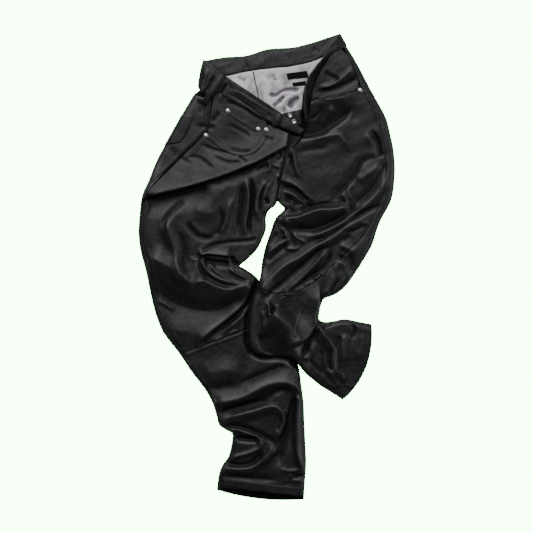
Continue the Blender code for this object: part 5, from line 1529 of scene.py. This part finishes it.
@dataclass
class Sewing:
    """Rows of stitches and doubled edges that lie on finished pieces."""

    tree: bpy.types.NodeTree
    thread: bpy.types.Material
    ground: Ground
    pitch: float = 3.8
    length: float = 2.7
    width: float = 0.9
    step: float = 2.0
    sunk: float = 0.35
    welt_rise: float = 0.85
    welt_float: float = 0.05

    def welt(self, name: str, row: Sequence[Place], width: float, only: Sequence[str],
             finish: bpy.types.Material) -> bpy.types.Object:
        """Lay a doubled edge, a thin strip along a row, on what carries it.

        Args:
            name: The new piece's name.
            row: The strip's middle line, as places on the floor.
            width: Its width, mm.
            only: The finished pieces that it lies on.
            finish: Its material.

        Returns:
            The strip.
        """
        path = row_curve(row, self.step, 4)
        along = np.gradient(path, axis=0)
        along /= np.hypot(along[:, 0], along[:, 1])[:, None]
        across = np.column_stack([-along[:, 1], along[:, 0]])
        shares = np.linspace(-0.5, 0.5, max(4, round(width / 2)))
        flat = path[:, None] + shares[None, :, None] * width * across[:, None]
        height = self.ground.heights(flat, only)
        grid = with_heights(flat, np.where(height > 0.5, height, height.max(1, keepdims=True)))
        normals = grid_normals(grid)
        made = add_shell(name, grid + self.welt_rise * normals, grid + self.welt_float * normals, finish)
        self.ground.add(made)
        return made

    def lay(self, name: str, rows: Sequence[Sequence[Place]], only: Sequence[str]) -> bpy.types.Object:
        """Sew rows on what carries them.

        Args:
            name: The new piece's name.
            rows: The rows' corners, as places on the floor.
            only: The finished pieces that the stitches lie on.

        Returns:
            The stitches, as one plain mesh.
        """
        points, edges = [], []
        for row in rows:
            first = len(points)
            points += [(*place, self.ground.height(place, only) + (0.5 - self.sunk) * self.width)
                       for place in row_curve(row, self.step, 3)]
            edges += [(k, k + 1) for k in range(first, len(points) - 1)]
        mesh = bpy.data.meshes.new(name)
        mesh.from_pydata((np.array(points) * MM).tolist(), edges, [])
        guide = bpy.data.objects.new(name + "_guide", mesh)
        bpy.context.scene.collection.objects.link(guide)
        modifier = guide.modifiers.new("sewn_row", "NODES")
        modifier.node_group = self.tree
        values = {"Pitch": self.pitch * MM, "Length": self.length * MM, "Thread": self.width * MM,
                  "Material": self.thread}
        for item in self.tree.interface.items_tree:
            if item.item_type == "SOCKET" and item.in_out == "INPUT" and item.name in values:
                modifier[item.identifier] = values[item.name]
        graph = bpy.context.evaluated_depsgraph_get()
        sewn = bpy.data.meshes.new_from_object(guide.evaluated_get(graph))
        guide.modifiers.remove(modifier)
        bpy.data.objects.remove(guide, do_unlink=True)
        sewn.name = name
        sewn.shade_smooth()
        made = bpy.data.objects.new(name, sewn)
        bpy.context.scene.collection.objects.link(made)
        return made


@dataclass
class Studio:
    """The floor, the lights and the camera straight above the garment, in metres and watts."""

    span: float = 1.066
    distance: float = 4.2
    floor_half: float = 4.0
    floor_height: float = -0.0004
    floor_colour: tuple[float, float, float] = (0.80, 0.84, 0.80)
    glow_colour: tuple[float, float, float] = (0.42, 1.0, 0.44)
    glow: float = 18.0
    sky_colour: tuple[float, float, float] = (0.97, 1.0, 0.98)
    sky: float = 0.10
    lights: tuple[tuple[str, Place3, float, float, float], ...] = (
        ("key", (-0.5, 2.4, 2.1), 3.2, 2.2, 62.0),
        ("side", (2.4, 0.1, 1.2), 1.8, 1.0, 14.0),
        ("overhead", (-0.3, 1.9, 5.0), 3.2, 2.6, 46.0),
    )

    def build(self) -> None:
        """Make the stage."""
        self.add_floor()
        for light in self.lights:
            self.add_light(*light)
        self.add_camera()
        world = bpy.data.worlds.new("studio")
        world.use_nodes = True
        sky = world.node_tree.nodes["Background"].inputs
        sky["Color"].default_value = (*self.sky_colour, 1)
        sky["Strength"].default_value = self.sky
        bpy.context.scene.world = world

    def add_floor(self) -> None:
        """Add the pale floor, just under the garment, which glows as the camera sees it."""
        mesh = bpy.data.meshes.new("floor")
        half = self.floor_half
        mesh.from_pydata([(x, y, self.floor_height) for x, y in ((-half, -half), (half, -half), (half, half),
                                                                 (-half, half))], [], [(0, 1, 2, 3)])
        made = bpy.data.objects.new("floor", mesh)
        bpy.context.scene.collection.objects.link(made)
        paint = bpy.data.materials.new("floor_paper")
        paint.use_nodes = True
        tree = paint.node_tree
        shader = tree.nodes["Principled BSDF"].inputs
        shader["Base Color"].default_value = (*self.floor_colour, 1)
        shader["Roughness"].default_value = 0.9
        shader["Specular IOR Level"].default_value = 0.1
        shader["Emission Color"].default_value = (*self.glow_colour, 1)
        seen = add_node(tree, "ShaderNodeLightPath")["Is Camera Ray"]
        glow = add_node(tree, "ShaderNodeMath", {0: seen, 1: self.glow}, operation="MULTIPLY")
        tree.links.new(glow[0], shader["Emission Strength"])
        mesh.materials.append(paint)

    def add_light(self, name: str, place: Place3, width: float, depth: float, power: float) -> None:
        """Add a soft light that faces the garment's middle.

        Args:
            name: Its name.
            place: Its place.
            width: Its width.
            depth: Its depth.
            power: Its power.
        """
        light = bpy.data.lights.new(name, "AREA")
        light.shape = "RECTANGLE"
        light.size, light.size_y, light.energy = width, depth, power
        made = bpy.data.objects.new(name, light)
        made.location = place
        made.rotation_mode = "QUATERNION"
        made.rotation_quaternion = (-Vector(place)).to_track_quat("-Z", "Y")
        bpy.context.scene.collection.objects.link(made)

    def add_camera(self) -> None:
        """Add the camera straight above the middle of the garment."""
        camera = bpy.data.cameras.new("camera")
        camera.lens = camera.sensor_width * self.distance / self.span
        camera.clip_end = 30.0
        made = bpy.data.objects.new("camera", camera)
        made.location = (0.0, 0.0, self.distance)
        bpy.context.scene.collection.objects.link(made)
        bpy.context.scene.camera = made


@dataclass
class Panels:
    """The two legs: back panels, front panels and shins."""

    cloths: Cloths
    ground: Ground

    def build(self) -> None:
        """Build both legs."""
        right = Leg(RIGHT_SEAT, RIGHT_HIP_FRONT, RIGHT_LEG, RIGHT_RELIEF, True)
        left = Leg(LEFT_SEAT, LEFT_SEAT, LEFT_LEG, LEFT_RELIEF, False, columns=104)
        self.build_leg("right", right, 0, HEM_SETBACK)
        self.build_leg("left", left, len(LEFT_SEAT), 0.0)

    def build_leg(self, side: str, leg: Leg, first_row: int, setback: float) -> None:
        """Build one leg's back, front and shin.

        Args:
            side: right or left, the wearer's.
            leg: Its shapes.
            first_row: The row of its table where the front panel starts.
            setback: How much short of the back hem the front one lies, mm.
        """
        back = leg.back_grid()
        self.keep(f"back_{side}", leg.wall(f"back_{side}_skin", back, self.cloths, False))
        stations = [*leg.top, *leg.tube]
        params = even_params(stations, leg.cell)
        rows = {row.name: int(np.searchsorted(params, number)) for number, row in enumerate(stations)}
        upper, lower = leg.split(leg.front_grid(stations, params), rows["knee"])
        if setback:
            lower = lower[:-round(setback / leg.cell)]
        start = int(np.searchsorted(params, first_row))
        self.keep(f"front_{side}", leg.wall(f"front_{side}_skin", upper[start:], self.cloths, True))
        self.keep(f"shin_{side}", leg.wall(f"shin_{side}_skin", lower, self.cloths, True))
        if side == "right":
            seat = even_params([*leg.seat, *leg.tube], 2 * leg.cell)
            pocket = back[(seat >= BACK_POCKET_SPAN[0]) & (seat <= BACK_POCKET_SPAN[1])]
            fly = upper[rows["lip"] + FLY_DROP:rows["thigh_3"]]
            self.keep("back_pocket", self.patch("back_pocket_skin", pocket, BACK_POCKET_COLUMNS))
            self.keep("fly_flap", self.patch("fly_flap_skin", fly, FLY_COLUMNS))

    def patch(self, name: str, grid: Grid, columns: slice) -> bpy.types.Object:
        """Sew a thin piece on a panel.

        Args:
            name: Its name.
            grid: The rows of the panel's grid that it covers.
            columns: The columns of the grid that it covers.

        Returns:
            The piece.
        """
        normals = grid_normals(grid)[:, columns]
        grid = grid[:, columns]
        return add_shell(name, grid + PATCH_RISE * normals, grid + PATCH_FLOAT * normals, self.cloths.leather)

    def keep(self, node: str, made: bpy.types.Object) -> None:
        """Place a panel instead of its CAD node."""
        self.ground.add(place_piece(made, "leather", node))


@dataclass
class WaistPieces:
    """Everything round the waist: bands, facings, lining, button stand, labels, loops and pockets."""

    cloths: Cloths
    ground: Ground
    cell: float = 2.2
    lining_cell: float = 2.6
    facing_columns: int = 48
    coin_columns: int = 24
    band_columns: int = 16
    lining_columns: int = 40
    stand_columns: int = 14
    label_points: tuple[int, int] = (7, 19)
    loop_points: tuple[int, int] = (26, 9)

    def build(self) -> None:
        """Build the pieces."""
        self.build_facings()
        self.build_bands()
        self.build_lining()
        self.build_labels()
        for node, (upper, middle, lower, width) in BELT_LOOPS.items():
            self.build_loop(node, (upper, middle, lower), width)

    def keep(self, node: str, made: bpy.types.Object, slot: str = "leather") -> None:
        """Place a piece instead of its CAD node."""
        self.ground.add(place_piece(made, slot, node))

    def build_facings(self) -> None:
        """Build both pocket facings and the coin pocket."""
        leather = self.cloths.leather
        height = partial(facing_height, RIGHT_RELIEF)
        grid = strip_grid(FACING_RIGHT, self.cell, self.facing_columns, FACING_RIGHT_BOW, height)
        self.keep("pocket_facing_right", add_wall("facing_right_skin", grid, WALL, leather))
        grid = strip_grid(COIN_POCKET, self.cell, self.coin_columns, None, height)
        outer = grid + (SEAM_GAP + PATCH_WALL) * grid_normals(grid)
        made = add_shell("coin_pocket_skin", outer, grid + SEAM_GAP * grid_normals(grid), leather)
        self.keep("coin_pocket", made)
        height = partial(facing_height, LEFT_RELIEF)
        grid = strip_grid(FACING_LEFT, self.cell, self.facing_columns, None, height)
        self.keep("pocket_facing_left", add_wall("facing_left_skin", grid, WALL, leather))

    def build_bands(self) -> None:
        """Build the three lengths of the waistband."""
        for side, strips in BANDS.items():
            grid = strip_grid(strips, self.cell, self.band_columns, crown=BAND_CROWN)
            flat = grid[:, :, :2].reshape(-1, 2)
            wave = sum(height * ripples(flat, spacing, seed) for height, spacing, seed in BAND_WAVES)
            for fold in BAND_FOLDS:
                wave += fold_height(fold) * fold_crest(flat, fold)[0]
            grid = grid + wave.reshape(grid.shape[:2])[:, :, None] * grid_normals(grid)
            made = add_wall(f"waistband_{side}_skin", grid, BAND_WALL, self.cloths.leather)
            self.keep(f"waistband_{side}", made)

    def build_lining(self) -> None:
        """Build the satin lining of both back panels and the button stand on it."""
        for side, strips, bow in (("right", LINING_RIGHT, None), ("left", LINING_LEFT, LINING_LEFT_BOW)):
            grid = strip_grid(strips, self.lining_cell, self.lining_columns, bow, lining_height)
            made = add_wall(f"lining_{side}_skin", grid, LINING_WALL, self.cloths.satin)
            self.keep(f"lining_{side}", made, "lining")
        grid = strip_grid(BUTTON_STAND, self.cell, self.stand_columns, None, stand_height, STAND_CROWN)
        self.keep("button_stand", add_wall("button_stand_skin", grid, WALL, self.cloths.leather))

    def build_labels(self) -> None:
        """Build both bare labels."""
        rows, columns = self.label_points
        down, across = np.linspace(0, 1, rows)[:, None, None], np.linspace(0, 1, columns)[None, :, None]
        for node, corners in LABELS.items():
            top_left, top_right, low_right, low_left = np.array(corners)
            flat = ((1 - down) * ((1 - across) * top_left + across * top_right)
                    + down * ((1 - across) * low_left + across * low_right))
            height = self.ground.heights(flat, ("lining_left_skin",))
            grid = with_heights(flat, np.maximum(height, height.mean()) + SEAM_GAP + LABEL_WALL)
            made = add_shell(f"{node}_cloth", grid, grid - (0, 0, LABEL_WALL), self.cloths.label)
            self.keep(node, made, "label")

    def build_loop(self, node: str, corners: Sequence[Place], width: float) -> None:
        """Build a belt loop, which bows up between its sewn ends.

        Args:
            node: The CAD node that it stands for.
            corners: Its ends and its middle, as places on the floor.
            width: The width of its solid, mm.
        """
        carriers = ("waistband_right_skin", "front_right_skin", "facing_right_skin", "back_right_skin")
        count, columns = self.loop_points
        sides = np.linspace(-1, 1, columns)
        path = curve_through(corners, np.linspace(0, len(corners) - 1, count))
        rows, bases = [], []
        for number, centre in enumerate(path):
            before, after = path[max(number - 1, 0)], path[min(number + 1, count - 1)]
            along = (after - before) / math.dist(after, before)
            across = np.array([-along[1], along[0]]) * (width / 2 + LOOP_EXTRA)
            spots = [centre + across * side for side in sides]
            bases.append(max(self.ground.height(spot, carriers) for spot in spots[2:-2]))
            arch = LOOP_ARCH * math.sin(math.pi * number / (count - 1)) ** 0.5
            crown = LOOP_CROWN * (1 - np.abs(sides) ** 3)
            top = SEAM_GAP + LOOP_THICKNESS + arch
            rows.append([(*spot, top + rise) for spot, rise in zip(spots, crown)])
        grid, order = np.array(rows), np.arange(count)
        bases = np.max([np.interp(order + k, order, bases) for k in range(-LOOP_BRIDGE, LOOP_BRIDGE + 1)], 0)
        grid[:, :, 2] += np.convolve(np.pad(bases, 2, "edge"), np.ones(5) / 5, "valid")[:, None]
        self.keep(node, add_wall(f"{node}_strap", grid, LOOP_THICKNESS, self.cloths.leather))


@dataclass
class Metalware:
    """Rivets and fly buttons, turned round an upright axis."""

    cloths: Cloths
    ground: Ground
    sides: int = 28
    contacts: int = 8
    rivet_radius: float = 4.8
    button_radius: float = 4.25
    rivet_profile: tuple[Place, ...] = (
        (0.97, 0.0), (1.0, 0.25), (0.97, 0.6), (0.86, 0.95), (0.62, 1.1), (0.52, 1.15), (0.46, 1.5),
        (0.34, 1.95), (0.16, 2.1))
    button_profile: tuple[Place, ...] = (
        (0.45, 0.0), (0.45, 1.4), (0.96, 1.8), (1.0, 2.2), (1.0, 2.8), (0.95, 3.3), (0.84, 3.5), (0.78, 3.2),
        (0.5, 2.95), (0.25, 2.9))

    def build(self) -> None:
        """Build every rivet and button."""
        for node, place in RIVETS.items():
            self.turn(node, place, self.rivet_profile, self.rivet_radius)
        for node, place in FLY_BUTTONS.items():
            self.turn(node, place, self.button_profile, self.button_radius)

    def ring(self, place: Place, radius: float, count: int) -> list[Place]:
        """Return places evenly round a circle on the floor."""
        angles = np.linspace(0, math.tau, count + 1)[:-1]
        return [(place[0] + radius * math.cos(a), place[1] + radius * math.sin(a)) for a in angles]

    def turn(self, node: str, place: Place, profile: Sequence[Place], radius: float) -> None:
        """Turn one piece and set it on what carries it.

        Args:
            node: The CAD node that it stands for.
            place: The place of its axis on the floor.
            profile: Its profile, as shares of its radius and heights in mm.
            radius: Its radius, mm.
        """
        spots = [place, *self.ring(place, radius, self.contacts)]
        base = max(self.ground.height(spot) for spot in spots) + METAL_GAP
        points = [(*place, base)]
        for share, height in profile:
            points += [(*spot, base + height) for spot in self.ring(place, share * radius, self.sides)]
        points.append((*place, base + profile[-1][1]))
        faces = []
        last = 1 + (len(profile) - 1) * self.sides
        for step in range(self.sides):
            after = (step + 1) % self.sides
            faces.append((0, 1 + after, 1 + step))
            for low in range(1, last, self.sides):
                high = low + self.sides
                faces.append((low + step, low + after, high + after, high + step))
            faces.append((last + step, last + after, len(points) - 1))
        place_piece(add_object(f"{node}_cap", np.array(points), faces, self.cloths.steel), "metal", node)


def sew_all(sewing: Sewing, cloths: Cloths) -> None:
    """Lay every doubled edge and every row of stitches.

    Args:
        sewing: The sewing.
        cloths: The finishes.
    """
    for name, (only, width, row) in WELTS.items():
        # the lining's seam strip takes the near-black flesh finish as painted shade
        inside = name.startswith("lining")
        made = sewing.welt(f"welt_{name}", row, width, (only,), cloths.flesh if inside else cloths.leather)
        place_piece(made, "lining" if inside else "leather")
    for name, (only, rows) in STITCHES.items():
        place_piece(sewing.lay(f"stitches_{name}", rows, only), "leather")
    for side, strips in BANDS.items():
        rows = [[tuple((1 - share) * np.array(row.start) + share * np.array(row.end)) for row in strips]
                for share in BAND_STITCH_SHARES]
        place_piece(sewing.lay(f"stitches_band_{side}", rows, (f"waistband_{side}_skin",)), "leather")


def main() -> None:
    """Build the jeans and the studio."""
    logging.basicConfig(level=logging.INFO, format="%(name)s %(message)s")
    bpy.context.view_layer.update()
    cloths = build_cloths()
    ground = Ground()
    Panels(cloths, ground).build()
    WaistPieces(cloths, ground).build()
    sew_all(Sewing(build_stitch_tree(), cloths.thread, ground), cloths)
    Metalware(cloths, ground).build()
    for node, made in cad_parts.items():
        if not made.hide_render:
            made.data.materials.clear()
            made.data.materials.append(cloths.leather)
            LOG.info("%s keeps its solid", node)
    Studio().build()


if __name__ == "__main__":
    main()
